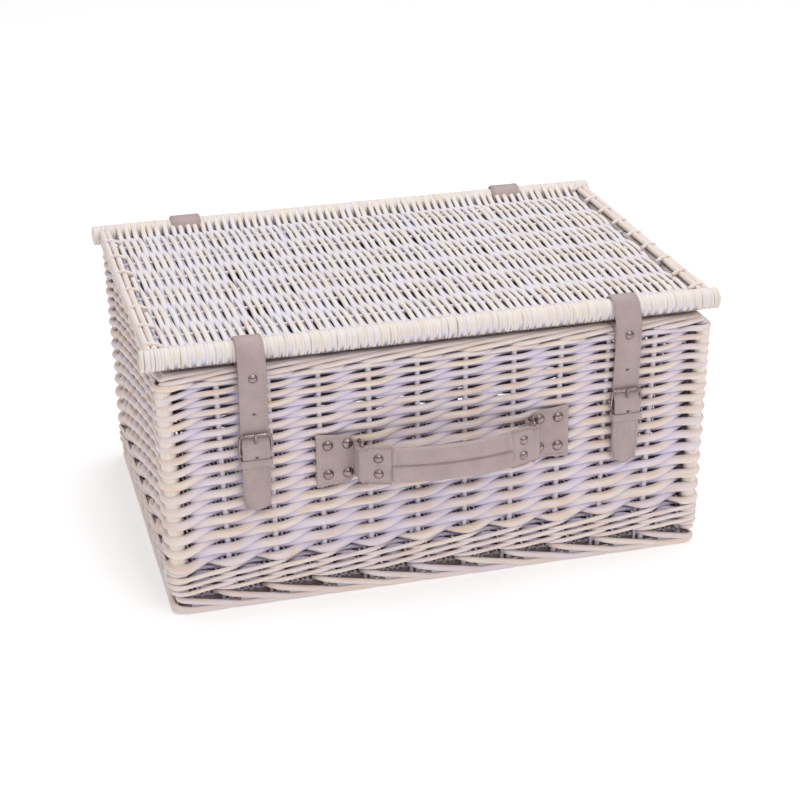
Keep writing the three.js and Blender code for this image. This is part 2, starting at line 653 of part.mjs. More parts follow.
// The padded cover round the core's middle, open at both ends where the core comes out.
function handleGrip() {
  const room = CORE_THICK / 2 + GAP;
  const cover = archBand(GRIP_BACK, GRIP_FRONT, -GRIP_ENDS_X, GRIP_ENDS_X, GRIP_HEIGHT);
  const past = GRIP_ENDS_X + 5;
  const tunnel = archBand(room, room, -past, past, CORE_HEIGHT + 2 * GAP);
  return without(cover, tunnel);
}

function addHandle() {
  add(hamper, "handle_strap", handleStrap(), leather);
  add(hamper, "handle_grip", handleGrip(), leather);
  tabRivetPlaces().forEach(({ x, y, z, turn }, i) => {
    const head = rivet(TAB_RIVET_HEAD, TAB_THICK + GAP);
    const fastener = add(hamper, `tab_rivet_${i + 1}`, head, nickel);
    const out = TAB_THICK / 2 + CLOSE;
    fastener.rotation.z = turn;
    fastener.position.set(x + Math.sin(turn) * out, y - Math.cos(turn) * out, z);
  });
  for (const [side, sign] of [["left", -1], ["right", 1]]) {
    add(hamper, `handle_plate_${side}`, handlePlate(), leather).scale.x = sign;
    add(hamper, `handle_ring_${side}`, handleRing(), nickel).scale.x = sign;
  }
  const face = plateBack - PLATE_THICK - CLOSE;
  plateRivetPlaces().forEach(([x, z], i) => {
    const length = -wallY(z) + WALL + GAP - face;
    const side = x < 0 ? "left" : "right";
    const name = `plate_rivet_${side}_${(i % 4) + 1}`;
    add(hamper, name, rivet(PLATE_RIVET_HEAD, length), nickel).position.set(x, face, z);
  });
}

addBase();
addWale();
addLongWalls();
addSideWalls();
addCornerPosts();
addTopBorder();
addRails();
addLidPanel();
addLidBorders();
for (const [side, sign] of [["left", -1], ["right", 1]]) {
  addClosure(side, sign);
  addHinge(side, sign);
}
addHandle();

// The origin is on the floor under the middle of the whole hamper, handle and rivets included.
const whole = new THREE.Box3().setFromObject(hamper, true);
hamper.position.y = -(whole.min.y + whole.max.y) / 2;

export default hamper;
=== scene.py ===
# A whitewashed willow picnic hamper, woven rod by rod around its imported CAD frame.
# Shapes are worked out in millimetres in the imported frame's axes, and each finished mesh is in metres.
import math

import bpy
import numpy as np
from mathutils import Matrix, Vector
from mathutils.bvhtree import BVHTree


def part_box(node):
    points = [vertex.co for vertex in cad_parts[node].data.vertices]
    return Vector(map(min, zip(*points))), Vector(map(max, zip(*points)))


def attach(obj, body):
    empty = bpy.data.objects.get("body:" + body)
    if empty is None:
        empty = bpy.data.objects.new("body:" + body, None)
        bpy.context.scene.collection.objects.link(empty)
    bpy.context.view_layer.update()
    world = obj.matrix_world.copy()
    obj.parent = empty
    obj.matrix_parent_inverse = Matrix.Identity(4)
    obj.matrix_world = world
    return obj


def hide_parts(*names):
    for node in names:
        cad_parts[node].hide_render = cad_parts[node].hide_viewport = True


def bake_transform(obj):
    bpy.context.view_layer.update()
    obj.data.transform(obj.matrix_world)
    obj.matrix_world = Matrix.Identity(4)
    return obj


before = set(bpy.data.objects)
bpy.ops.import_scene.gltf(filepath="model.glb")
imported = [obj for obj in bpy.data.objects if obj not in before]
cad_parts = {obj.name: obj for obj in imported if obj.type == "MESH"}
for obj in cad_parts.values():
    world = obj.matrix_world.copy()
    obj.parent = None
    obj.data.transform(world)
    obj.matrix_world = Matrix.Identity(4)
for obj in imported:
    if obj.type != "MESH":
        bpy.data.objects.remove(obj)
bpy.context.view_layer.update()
rng = np.random.default_rng(20)

MM = 0.001
X, Y, Z = np.eye(3)


def mm_box(node):
    """A CAD node's lowest and highest corner, in millimetres."""
    low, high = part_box(node)
    return np.array(low) / MM, np.array(high) / MM


def track(*axes):
    """Points from their coordinates, each one number or one for each point."""
    return np.column_stack(np.broadcast_arrays(*axes))


def circle(sides):
    """Points round a unit circle, anticlockwise."""
    turn = np.linspace(0, 2 * math.pi, sides, endpoint=False)
    return track(np.cos(turn), np.sin(turn))


def unit(vectors):
    return vectors / np.maximum(np.linalg.norm(vectors, axis=-1, keepdims=True), 1e-9)


def run_along(points):
    """How far along a line each of its points lies."""
    return np.concatenate([[0], np.cumsum(np.linalg.norm(np.diff(points, axis=0), axis=1))])


def share(middle, spread):
    """A random share from 0 to 1."""
    return np.clip(rng.normal(middle, spread), 0, 1)


def wave(angle):
    """A sine of a random phase."""
    return np.sin(angle + rng.uniform(0, 6))


def fade(values, start, length):
    """0 up to start, then rising to 1 over length."""
    return np.clip((values - start) / length, 0, 1)


# ---- sizes that the frame gives ----
foot_low, foot_high = mm_box("foot_border")
wale_low, wale_high = mm_box("upsett_wale")
border_low, border_high = mm_box("top_border")
front_rail_low, front_rail_high = mm_box("lid_front_rail")
rear_rail_low, rear_rail_high = mm_box("lid_rear_rail")
CY = (foot_low[1] + foot_high[1]) / 2  # the body's middle; its X middle is 0
LEAN_X = 0.007
LEAN_Y = 0.014
FOOT_PROUD = 0.6
WALL_X = foot_high[0] - FOOT_PROUD
WALL_Y = foot_high[1] - CY - FOOT_PROUD


def wall_x(z):
    return WALL_X + LEAN_X * z


def wall_y(z):
    return WALL_Y + LEAN_Y * z


# ---- mesh building ----
class Build:
    """Collects swept tubes and other grids into one mesh, with attributes for the materials."""

    def __init__(self):
        self.points, self.quads, self.tris = [], [], []
        self.strand, self.grain = [], []
        self.count = 0

    def add(self, points, quads, tris, strand, grain):
        self.points.append(points)
        self.quads.append(quads + self.count)
        self.tris.append(tris + self.count)
        self.strand.append(strand)
        self.grain.append(grain)
        self.count += len(points)

    def sweep(self, path, ref, section, tone=0.5, rub_and_shade=0.5, closed=False, outward=None):
        """Sweeps a section, drawn anticlockwise about the path, along it. ref is the section's first axis."""
        path = np.asarray(path, float)
        n = len(path)
        if closed:
            tangent = np.roll(path, -1, 0) - np.roll(path, 1, 0)
        else:
            tangent = np.gradient(path, axis=0)
        tangent = unit(tangent)
        ref = np.broadcast_to(np.asarray(ref, float), path.shape)
        side = unit(ref - (ref * tangent).sum(1, keepdims=True) * tangent)
        normal = np.cross(tangent, side)
        section = np.asarray(section, float)
        if section.ndim == 2:
            section = np.broadcast_to(section, (n,) + section.shape)
        m = section.shape[1]
        grid = path[:, None] + side[:, None] * section[..., :1] + normal[:, None] * section[..., 1:2]
        run, around = run_along(path), run_along(section[n // 2])
        i = np.arange(n if closed else n - 1)[:, None]
        j = np.arange(m)[None]
        i2, j2 = (i + 1) % n, (j + 1) % m
        quads = np.stack([i * m + j, i * m + j2, i2 * m + j2, i2 * m + j], -1).reshape(-1, 4)
        points = grid.reshape(-1, 3)
        # the strand's second value is high where a rod stands proud and is worn, and low where the willow
        # material paints shade on it
        strand = track(tone, np.repeat(np.broadcast_to(rub_and_shade, (n,)), m), 1.0)
        if outward is not None:  # 1 on the side that faces outwards, -1 on the side that faces inwards
            spoke = unit(grid - path[:, None])
            strand[:, 2] = (spoke * np.broadcast_to(outward, path.shape)[:, None]).sum(2).ravel()
        offset = rng.uniform(0, 900)  # puts each rod's grain in its own place in the noise
        grain = track(np.repeat(run, m) + offset, np.tile(around, n), offset)
        tris = np.zeros((0, 3), int)
        if not closed:
            points = np.concatenate([points, path[:1], path[-1:]])
            strand = np.concatenate([strand, strand[:1], strand[-1:]])
            grain = np.concatenate([grain, grain[:1], grain[-1:]])
            k = np.arange(m)
            k2 = (k + 1) % m
            start = np.stack([np.full(m, n * m), k2, k], -1)
            end = np.stack([np.full(m, n * m + 1), (n - 1) * m + k, (n - 1) * m + k2], -1)
            tris = np.concatenate([start, end])
        self.add(points, quads, tris, strand, grain)

    def rod(self, path, radius, ref=Z, sides=8, tone=0.5, rub_and_shade=0.5, flat=1.0, closed=False, outward=None):
        """A round rod; flat is its thickness across ref over its thickness along ref."""
        radius = np.broadcast_to(radius, (len(path),))
        section = circle(sides) * (1, flat) * radius[:, None, None]
        self.sweep(path, ref, section, tone, rub_and_shade, closed, outward=outward)

    def mesh(self, name, material):
        """The finished piece, in metres."""
        points = np.concatenate(self.points) * MM
        quads, tris = np.concatenate(self.quads), np.concatenate(self.tris)
        data = bpy.data.meshes.new(name)
        loops = np.concatenate([quads.ravel(), tris.ravel()]).astype(np.int32)
        sizes = np.repeat([4, 3], [len(quads), len(tris)])
        data.vertices.add(len(points))
        data.vertices.foreach_set("co", points.astype(np.float32).ravel())
        data.loops.add(len(loops))
        data.loops.foreach_set("vertex_index", loops)
        data.polygons.add(len(sizes))
        data.polygons.foreach_set("loop_start", (np.cumsum(sizes) - sizes).astype(np.int32))
        data.update(calc_edges=True)
        data.polygons.foreach_set("use_smooth", np.full(len(sizes), True))
        for key, values in (("strand", self.strand), ("grain", self.grain)):
            layer = data.attributes.new(key, "FLOAT_VECTOR", "POINT")
            layer.data.foreach_set("vector", np.concatenate(values).astype(np.float32).ravel())
        data.materials.append(material)
        piece = bpy.data.objects.new(name, data)
        bpy.context.scene.collection.objects.link(piece)
        return piece


# ---- materials ----
class Graph:
    """Builds a node material with short calls."""

    def __init__(self, name):
        self.material = bpy.data.materials.new(name)
        self.material.use_nodes = True
        self.tree = self.material.node_tree
        self.shader = self.tree.nodes["Principled BSDF"]

    def node(self, kind, inputs=None, **settings):
        made = self.tree.nodes.new(kind)
        for key, value in settings.items():
            setattr(made, key, value)
        for key, value in (inputs or {}).items():
            self.put(made.inputs[key], value)
        return made

    def put(self, socket, value):
        if isinstance(value, bpy.types.NodeSocket):
            self.tree.links.new(value, socket)
        elif isinstance(value, bpy.types.Node):
            self.tree.links.new(value.outputs[0], socket)
        else:
            socket.default_value = value

    def attribute(self, name):
        return self.node("ShaderNodeAttribute", attribute_name=name).outputs["Vector"]

    def split(self, vector):
        return self.node("ShaderNodeSeparateXYZ", {0: vector}).outputs

    def math(self, operation, a, b):
        return self.node("ShaderNodeMath", {0: a, 1: b}, operation=operation).outputs[0]

    def noise(self, vector, scale, detail=3.0):
        inputs = {"Vector": vector, "Scale": scale, "Detail": detail, "Roughness": 0.55}
        return self.node("ShaderNodeTexNoise", inputs).outputs["Fac"]

    def stretch(self, vector, x, y, z):
        return self.node("ShaderNodeVectorMath", {0: vector, 1: (x, y, z)}, operation="MULTIPLY").outputs[0]

    def mix(self, factor, a, b):
        made = self.node("ShaderNodeMix", data_type="RGBA")
        self.put(made.inputs["Factor"], factor)
        self.put(made.inputs[6], a)
        self.put(made.inputs[7], b)
        return made.outputs[2]

    def ramp(self, value, low, high):
        """value from low to high as 0 to 1."""
        inputs = {"Value": value, "From Min": low, "From Max": high}
        return self.node("ShaderNodeMapRange", inputs).outputs["Result"]

    def bump(self, height, strength, distance):
        made = self.node("ShaderNodeBump", {"Height": height, "Strength": strength, "Distance": distance})
        self.put(self.shader.inputs["Normal"], made.outputs["Normal"])


def rgb(r, g, b):
    """An sRGB colour in 0 to 255 as linear RGBA."""
    def linear(c):
        c /= 255
        return c / 12.92 if c <= 0.04045 else ((c + 0.055) / 1.055) ** 2.4
    return (linear(r), linear(g), linear(b), 1.0)


BARE_AND_SHADE_DARK = rgb(124, 106, 104)  # the unpainted inside; also painted shade on the outer faces of the foot's return rods
BARE_AND_SHADE_LIGHT = rgb(166, 148, 140)


def willow_material(name, white, cream, tan, painted_shade, wear):
    """Whitewashed willow: white paint, worn to the cream and tan skin where the rods stand proud, with a
    darker lavender painted shade where they lie back.
    """
    g = Graph(name)
    tone, rub_and_shade, facing = g.split(g.attribute("strand"))[:3]
    grain = g.attribute("grain")
    streak = g.noise(g.stretch(grain, 0.05, 1.1, 1.0), 1.0, 4.0)
    patch = g.noise(g.stretch(grain, 0.035, 0.22, 0.7), 1.0, 2.0)
    fleck = g.noise(g.stretch(grain, 0.4, 1.6, 1.0), 1.3, 2.0)
    proud = g.math("ADD", g.math("MULTIPLY", tone, 0.5), g.math("MULTIPLY", rub_and_shade, 0.6))
    colour = g.mix(g.ramp(proud, 0.3, 1.05), white, cream)
    colour = g.mix(g.math("MULTIPLY", g.ramp(patch, 0.45, 0.75), g.ramp(rub_and_shade, 0.2, 0.9)), colour, tan)
    # painted shade: a darker lavender colour on the parts of the rods that lie back behind or under others
    colour = g.mix(g.math("MULTIPLY", g.ramp(rub_and_shade, 0.6, 0.1), 0.9), colour, painted_shade)
    worn = g.math("MULTIPLY", g.ramp(streak, 0.56, 0.78), wear)
    colour = g.mix(worn, colour, tan)
    dark = g.math("MULTIPLY", g.ramp(fleck, 0.7, 0.85), 0.35)
    colour = g.mix(dark, colour, rgb(150, 126, 108))
    # the bare colour on inward-facing sides, which on the foot's return rods is painted shade
    bare_and_shade = g.mix(streak, BARE_AND_SHADE_DARK, BARE_AND_SHADE_LIGHT)
    colour = g.mix(g.ramp(facing, -0.15, -0.6), colour, bare_and_shade)
    g.put(g.shader.inputs["Base Color"], colour)
    g.put(g.shader.inputs["Roughness"], g.ramp(streak, -0.6, 1.3))
    g.shader.inputs["Specular IOR Level"].default_value = 0.3
    g.bump(g.math("ADD", streak, g.math("MULTIPLY", fleck, 0.5)), 0.35, 0.0006)
    return g.material


def leather_material(name, base, light, crease):
    g = Graph(name)
    place = g.node("ShaderNodeTexCoord").outputs["Object"]
    pebble = g.node("ShaderNodeTexVoronoi", {"Vector": place, "Scale": 900.0}, feature="SMOOTH_F1")
    cell = pebble.outputs["Distance"]
    cloud = g.noise(place, 60.0, 4.0)
    fine = g.noise(place, 1400.0, 2.0)
    rub_and_shade = g.split(g.attribute("strand"))[1]
    colour = g.mix(g.ramp(cloud, 0.3, 0.75), base, light)
    # painted shade: a darker colour towards the edges of the pebble grain's cells, where the bump sinks into
    # creases
    colour = g.mix(g.math("MULTIPLY", g.ramp(cell, 0.35, 0.8), 0.25), colour, crease)
    colour = g.mix(g.ramp(rub_and_shade, 0.55, 1.0), colour, rgb(214, 200, 194))
    g.put(g.shader.inputs["Base Color"], colour)
    g.put(g.shader.inputs["Roughness"], g.ramp(cloud, -1.0, 2.2))
    g.shader.inputs["Specular IOR Level"].default_value = 0.45
    g.bump(g.math("SUBTRACT", g.math("MULTIPLY", fine, 0.4), cell), 0.22, 0.0004)
    return g.material


def nickel_material(name):
    g = Graph(name)
    place = g.node("ShaderNodeTexCoord").outputs["Object"]
    cloud = g.noise(place, 180.0, 4.0)
    scratch = g.noise(g.stretch(place, 300.0, 300.0, 3000.0), 1.0, 3.0)
    colour = g.mix(g.ramp(cloud, 0.3, 0.8), rgb(172, 154, 152), rgb(122, 104, 102))
    g.put(g.shader.inputs["Base Color"], colour)
    g.shader.inputs["Metallic"].default_value = 1.0
    g.put(g.shader.inputs["Roughness"], g.ramp(cloud, -0.4, 3.6))
    g.bump(scratch, 0.08, 0.0002)
    return g.material


def thread_material(name):
    g = Graph(name)
    place = g.node("ShaderNodeTexCoord").outputs["Object"]
    twist = g.node("ShaderNodeTexWave", {"Vector": place, "Scale": 900.0, "Distortion": 3.0})
    colour = g.mix(twist.outputs["Fac"], rgb(206, 190, 182), rgb(184, 166, 160))
    g.put(g.shader.inputs["Base Color"], colour)
    g.shader.inputs["Roughness"].default_value = 0.8
    g.bump(twist.outputs["Fac"], 0.3, 0.0002)
    return g.material


def floor_material():
    g = Graph("pale_floor")
    place = g.node("ShaderNodeTexCoord").outputs["Object"]
    cloud = g.noise(place, 3.0, 3.0)
    g.put(g.shader.inputs["Base Color"], g.mix(cloud, rgb(246, 246, 247), rgb(250, 250, 250)))
    g.shader.inputs["Roughness"].default_value = 0.9
    g.shader.inputs["Specular IOR Level"].default_value = 0.1
    g.shader.inputs["Emission Color"].default_value = (1.0, 1.0, 1.0, 1.0)
    g.shader.inputs["Emission Strength"].default_value = 0.2
    return g.material


willow = willow_material(
    "whitewashed_willow", rgb(224, 214, 228), rgb(236, 222, 210), rgb(226, 196, 176), rgb(202, 196, 222), 0.5)
lid_willow = willow_material(
    "lid_willow", rgb(228, 224, 234), rgb(236, 226, 214), rgb(226, 208, 192), rgb(206, 204, 224), 0.4)
pale_stick = willow_material(
    "pale_stick", rgb(228, 220, 228), rgb(236, 224, 212), rgb(226, 202, 182), rgb(214, 208, 226), 0.35)
leather = leather_material("taupe_leather", rgb(168, 149, 148), rgb(182, 164, 162), rgb(142, 123, 121))
nickel = nickel_material("nickel_plate")
thread = thread_material("pale_thread")


def place(piece, body, slot, *nodes):
    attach(piece, body)
    if nodes:
        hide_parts(*nodes)
    return piece


def smooth_steps(values, steps):
    """Runs a curve through control points and samples it evenly in the control points' index."""
    values = np.asarray(values, float)
    n = len(values)
    t = np.linspace(0, n - 1, steps)
    k = np.clip(t.astype(int), 0, n - 2)
    f = (t - k)[:, None]
    p0 = values[np.maximum(k - 1, 0)]
    p1, p2 = values[k], values[k + 1]
    p3 = values[np.minimum(k + 2, n - 1)]
    square, cube = 2 * p0 - 5 * p1 + 4 * p2 - p3, 3 * p1 - p0 - 3 * p2 + p3
    return 0.5 * (2 * p1 + (p2 - p0) * f + square * f**2 + cube * f**3)


# ---- the body's plan: 38 stakes round a rounded rectangle ----
FRONT_STAKES = 10  # between two corner posts, and the same at the back
SIDE_STAKES = 7
STAKE = 2.3  # radius
THIN_STAKE = 1.5
POST = 6.4
PATH_CORNER = 6.0  # corner radius of the line that the stakes stand on
SIDES = [FRONT_STAKES + 1, SIDE_STAKES + 1, FRONT_STAKES + 1, SIDE_STAKES + 1]
CORNERS = np.cumsum([0] + SIDES)[:4]
STAKES = sum(SIDES)


def plan(u, half_x, half_y, corner=PATH_CORNER):
    """Points and outward normals on the rounded rectangle, at stake numbers u from the front left corner."""
    u = np.asarray(u, float) % STAKES
    half_x, half_y = np.broadcast_to(half_x, u.shape), np.broadcast_to(half_y, u.shape)
    point, normal = np.zeros(u.shape + (2,)), np.zeros(u.shape + (2,))
    arc_length = corner * math.pi / 4
    start = 0
    for side, count in enumerate(SIDES):
        on = (u >= start) & (u <= start + count)
        f = (u[on] - start) / count
        long_half, wide_half = (half_x[on], half_y[on]) if side % 2 == 0 else (half_y[on], half_x[on])
        flat = 2 * long_half - 2 * corner
        s = f * (flat + 2 * arc_length)
        along = np.clip(s - arc_length, 0, flat) - flat / 2
        across = -wide_half.copy()
        nx, ny = np.zeros(len(f)), -np.ones(len(f))
        for sign, past in ((-1, arc_length - s), (1, s - arc_length - flat)):
            near, turn = past > 0, past / corner
            along = np.where(near, sign * (flat / 2 + corner * np.sin(turn)), along)
            across = np.where(near, -wide_half + corner * (1 - np.cos(turn)), across)
            nx = np.where(near, sign * np.sin(turn), nx)
            ny = np.where(near, -np.cos(turn), ny)
        cos, sin = [(1, 0), (0, 1), (-1, 0), (0, -1)][side]
        point[on] = track(cos * along - sin * across, sin * along + cos * across)
        normal[on] = track(cos * nx - sin * ny, sin * nx + cos * ny)
        start += count
    return point, normal


def wall_line(u, z, out, inset, corner=PATH_CORNER):
    """Points at stake number u and height z, out from the line that lies inset behind the wall's face."""
    point, normal = plan(u, wall_x(z) - inset, wall_y(z) - inset, corner)
    point = point + normal * np.broadcast_to(out, np.shape(u))[:, None]
    return track(point[:, 0], point[:, 1] + CY, z)


def away(u):
    """The wall's outward direction at stake number u."""
    normal = plan(u, WALL_X, WALL_Y)[1]
    return track(normal[:, 0], normal[:, 1], 0.0)


def corner_share(u, reach=0.45):
    """1 at a corner post, 0 at reach or more from it."""
    u = np.asarray(u) % STAKES
    gap = np.min([np.minimum(abs(u - c), STAKES - abs(u - c)) for c in CORNERS], axis=0)
    return np.clip(1 - gap / reach, 0, 1)


CORNER_STEPS = np.array([0.025, 0.05, 0.08, 0.11, 0.15, 0.2])  # in stakes, from a corner


def samples(start, length, each):
    """Stake numbers along a rod, closer together round the corners."""
    u = np.linspace(start, start + length, int(length * each) + 1)
    near = np.concatenate([-CORNER_STEPS[::-1], [0], CORNER_STEPS])
    turns = np.arange(3) * STAKES
    extra = (turns[:, None, None] + CORNERS[:, None] + near).ravel()
    extra = extra[(extra > start) & (extra < start + length)]
    keep = np.array([not len(extra) or np.min(abs(extra - x)) > 0.03 for x in u])
    keep[0] = keep[-1] = True
    return np.unique(np.concatenate([u[keep], extra]))


# ---- woven walls ----
RAND_BOTTOM = wale_high[2] - 0.5
RAND_TOP = border_low[2] + 0.5
RAND_LENGTH = 30  # stakes that each weaver passes
THICK_RISE = 7.0  # height gained at each stake, at a weaver's thick end
THIN_RISE = 3.8
START, TUCK = 0.5, 0.7  # how far a weaver runs on inside the wall before and after, in stakes
BACK_SWING = 0.45  # how far the back wall's weavers swing, as a share of the front's
BACK_HEIGHT = 1.35  # how tall they are over their thickness


def rand_height(d):
    """Height of a weaver's middle, d stakes from its thick end."""
    scale = (RAND_TOP - RAND_BOTTOM - 4) / (RAND_LENGTH * (THICK_RISE + THIN_RISE) / 2)
    rise = THICK_RISE * d - (THICK_RISE - THIN_RISE) * d**2 / (2 * RAND_LENGTH)
    return RAND_BOTTOM + 2.5 + rise * scale


def rand_radius(d):
    return 0.56 * (THICK_RISE - (THICK_RISE - THIN_RISE) * d / RAND_LENGTH)


def stake_inset(d):
    """How far the line of the stakes lies behind the wall's face, where a weaver is d stakes along."""
    return 1.5 * rand_radius(d) + 0.8 * STAKE


def near_back(u):
    """0 round the front and sides, 1 along the back wall, whose weave is closer."""
    f = (u % STAKES - CORNERS[2]) / SIDES[2]
    return fade(np.minimum(f, 1 - f), 0, 0.1)


def weave_walls():
    build = Build()
    for p in range(STAKES):
        u = samples(p - START + rng.uniform(-0.05, 0.05), RAND_LENGTH + START + TUCK, 8)
        d = u - p
        steady = np.clip(d, 0, RAND_LENGTH)
        size = rng.uniform(0.93, 1.05)
        wobble = 0.25 * wave(u * rng.uniform(1.2, 2.4))
        sag = 0.13 * (THICK_RISE - steady / 9.4) * np.sin(2 * math.pi * steady)
        z = rand_height(steady) - sag + wobble
        radius = rand_radius(steady) * size * (1 - 0.5 * fade(-d, 0, 0.3))
        post, back = corner_share(u), near_back(u)
        swing = (0.5 * rand_radius(steady) + 0.8 * STAKE) * (1 - (1 - BACK_SWING) * back)
        swing = swing + (POST - STAKE) * post
        phase = np.cos(math.pi * d)
        out = swing * np.sign(phase) * np.abs(phase) ** 1.1 + rng.normal(0, 0.15)
        # both ends turn in behind the wall's face
        out = out - 5.0 * fade(-d, 0.15, 0.35) - 3.0 * fade(d - RAND_LENGTH, 0.4, 0.3)
        tone = share(0.45, 0.3)
        # high on the bulges in front of the stakes, worn to the skin; low where the weaver passes behind one,
        # for painted shade
        rub_and_shade = np.clip(0.5 + 0.5 * phase, 0, 1) * np.clip(0.75 + 0.5 * tone, 0, 1)
        tall = (1 + 0.1 * np.clip(1.6 * post, 0, 1) * (out > 0)) * (1 + (BACK_HEIGHT - 1) * back)
        section = circle(8) * track(radius * tall, radius)[:, None]
        build.sweep(wall_line(u, z, out, stake_inset(steady)), Z, section, tone, rub_and_shade, outward=away(u))
    piece = build.mesh("wall_weavers", willow)
    place(piece, "root", "willow", "front_wall", "back_wall", "left_wall", "right_wall")


def stand_stakes():
    stakes, posts = Build(), Build()
    for k in range(STAKES):
        z = np.linspace(4, RAND_TOP + 2, 40)
        inset = stake_inset(fade(z, RAND_BOTTOM, RAND_TOP - RAND_BOTTOM) * RAND_LENGTH)
        u = np.full(len(z), float(k))
        bend = rng.uniform(-0.012, 0.012) * wave(z / rng.uniform(25, 50))
        if k in CORNERS:
            z = np.linspace(wale_low[2] + 1, border_low[2] - 0.5, 40)
            posts.rod(wall_line(u, z, 2.2, inset), POST, X, 14, 0.7, 0.75, outward=away(u))
            continue
        path = wall_line(u + bend, z, 0, inset)
        radius = STAKE * rng.uniform(0.92, 1.08)
        stakes.rod(path, radius, X, 8, rng.uniform(0, 0.5), 0.25, outward=away(u))
        # the thin stake beside it, cut off above the waling
        z = np.linspace(3, wale_high[2] + rng.uniform(2, 8), 12)
        u = np.full(12, k + rng.choice([-1, 1]) * 0.14)
        path = wall_line(u, z, -1, inset[0])
        stakes.rod(path, THIN_STAKE, X, 6, rng.uniform(0, 0.6), 0.3, outward=away(u))
    place(stakes.mesh("wall_stakes", pale_stick), "root", "willow")
    nodes = [f"corner_post_{f}_{s}" for f in ("front", "back") for s in ("left", "right")]
    place(posts.mesh("corner_posts", pale_stick), "root", "pale_stick", *nodes)


# ---- waling: three rows of three rods, each rod before two stakes and behind one ----
WALE_ROWS = 3
WALE_ROD = 1.75


def weave_wale():
    build = Build()
    low, high = wale_low[2] + 1.9, wale_high[2] - 1.9
    pitch = (high - low) / WALE_ROWS
    swing = (STAKE + WALE_ROD + 0.3) / 0.82
    inset = 2 * WALE_ROD + STAKE + 0.2
    for row in range(WALE_ROWS):
        for strand in range(3):
            u = samples(strand - 0.4, STAKES + 1.2, 7)
            turn = 2 * math.pi * (u - strand - row) / 3 + math.pi
            out = swing * np.tanh(2.2 * np.cos(turn)) / math.tanh(2.2)
            out = out + (POST - STAKE) * 0.5 * corner_share(u) * np.sign(out)
            z = low + pitch * (row + 0.5) + 2.5 * np.sin(turn) + 0.3 * wave(u * rng.uniform(0.8, 1.6))
            tone = share(0.55, 0.25)
            radius = WALE_ROD * rng.uniform(0.95, 1.08)
            # high where the rod passes in front of a stake, worn; low behind one, for painted shade
            rub_and_shade = 0.45 + 0.4 * np.cos(turn)
            build.rod(wall_line(u, z, out, inset), radius, Z, 8, tone, rub_and_shade, outward=away(u))
    place(build.mesh("wale_rods", willow), "root", "willow", "upsett_wale")


# ---- foot border: each rod comes out under the waling, slopes down past a stake and turns in ----
FOOT_ROD = 2.55
FOOT_DEPTH = 7.5  # how far a rod's ends lie behind the foot's face
FOOT_START, FOOT_END = -0.18, 2.27  # in stakes from the rod's own stake
FOOT_SLOPE = 1.3  # stakes over which a rod slopes down


def weave_foot():
    build = Build()
    top, bottom = wale_low[2] - 2.6, FOOT_ROD + 0.15
    for k in range(STAKES):
        u = samples(k + FOOT_START, FOOT_END - FOOT_START, 9)
        d = u - k
        z = top - (top - bottom) * fade(d, 0, FOOT_SLOPE) ** 0.9 + rng.uniform(-0.25, 0.25)
        z = np.maximum(z, FOOT_ROD + 0.05)
        seen = np.minimum(fade(d, FOOT_START, 0.3), fade(-d, -FOOT_END, 0.28))
        out = FOOT_DEPTH * (np.sin(seen * math.pi / 2) - 1)
        size = FOOT_ROD * rng.uniform(0.92, 1.0) * np.where(d > 2.1, 0.95, 1.0)
        tone = share(0.55, 0.3)
        path = wall_line(u, z, out, FOOT_ROD - FOOT_PROUD + 0.2, 8.0)
        build.rod(path, size, Z, 9, tone, 0.7, outward=away(u))
        u = samples(k - 0.5, 2.2, 5)  # the return of the same rod inside the foot
        z = bottom + 1.0 + 3.0 * np.clip(u - k, 0, 1)
        path = wall_line(u, z, -11.0, FOOT_ROD, 3.0)
        # its outward side is turned inwards, so the face seen through the foot's gaps takes the dark bare
        # colour: painted shade
        build.rod(path, FOOT_ROD * 0.8, Z, 6, tone, 0.0, outward=-away(u))
    place(build.mesh("foot_rods", willow), "root", "willow", "foot_border")


# ---- top border: each stake comes out, lies along the rim over the next ones and turns in ----
BORDER_ROD = 2.0
BORDER_LENGTH = 3.4
BORDER_START = 0.25  # stakes before its own stake where a rod comes out
BORDER_WIDE = 1.5  # a rod's width over its height


def weave_top_border():
    build = Build()
    low, high = border_low[2] + BORDER_ROD, border_high[2] - BORDER_ROD - 0.1
    face = border_high[0] - wall_x((low + high) / 2)
    for k in range(STAKES):
        u = samples(k - BORDER_START, BORDER_LENGTH + 0.45, 8)
        d = fade(u, k, BORDER_LENGTH)
        width = BORDER_WIDE * (1 - 0.1 * d)
        come = fade(u, k - BORDER_START, 0.45)
        out = face - BORDER_ROD * width - 13.0 * d**0.9 - 12.0 * (1 - np.sin(come * math.pi / 2))
        rise = np.clip(d * 2.1, 0, 1)
        z = low + (high - low) * rise * rise * (3 - 2 * rise) + rng.uniform(-0.15, 0.1)
        z = z - 2.0 * fade(d, 0.9, 0.1) - 4.0 * (1 - come) ** 2
        tone = share(0.6, 0.25)
        size = BORDER_ROD * rng.uniform(0.94, 1.0)
        section = circle(9) * track(size, size * width)[:, None]
        build.sweep(wall_line(u, z, out, 0, 7.0), Z, section, tone, 0.75, outward=Z)
    for depth, drop in ((7.5, 3.9), (13.5, 3.9), (18.5, 0.6), (21.0, 1.0)):  # the rods that the stakes lie on
        path = wall_line(samples(0, STAKES, 6), high - drop, face - depth, 0, 5.0)
        build.rod(path, 1.9, Z, 7, 0.4, 0.3, outward=Z)
    place(build.mesh("border_rods", willow), "root", "willow", "top_border")


# ---- woven floor ----
BASE_STICKS = 11
BASE_STICK = 1.7


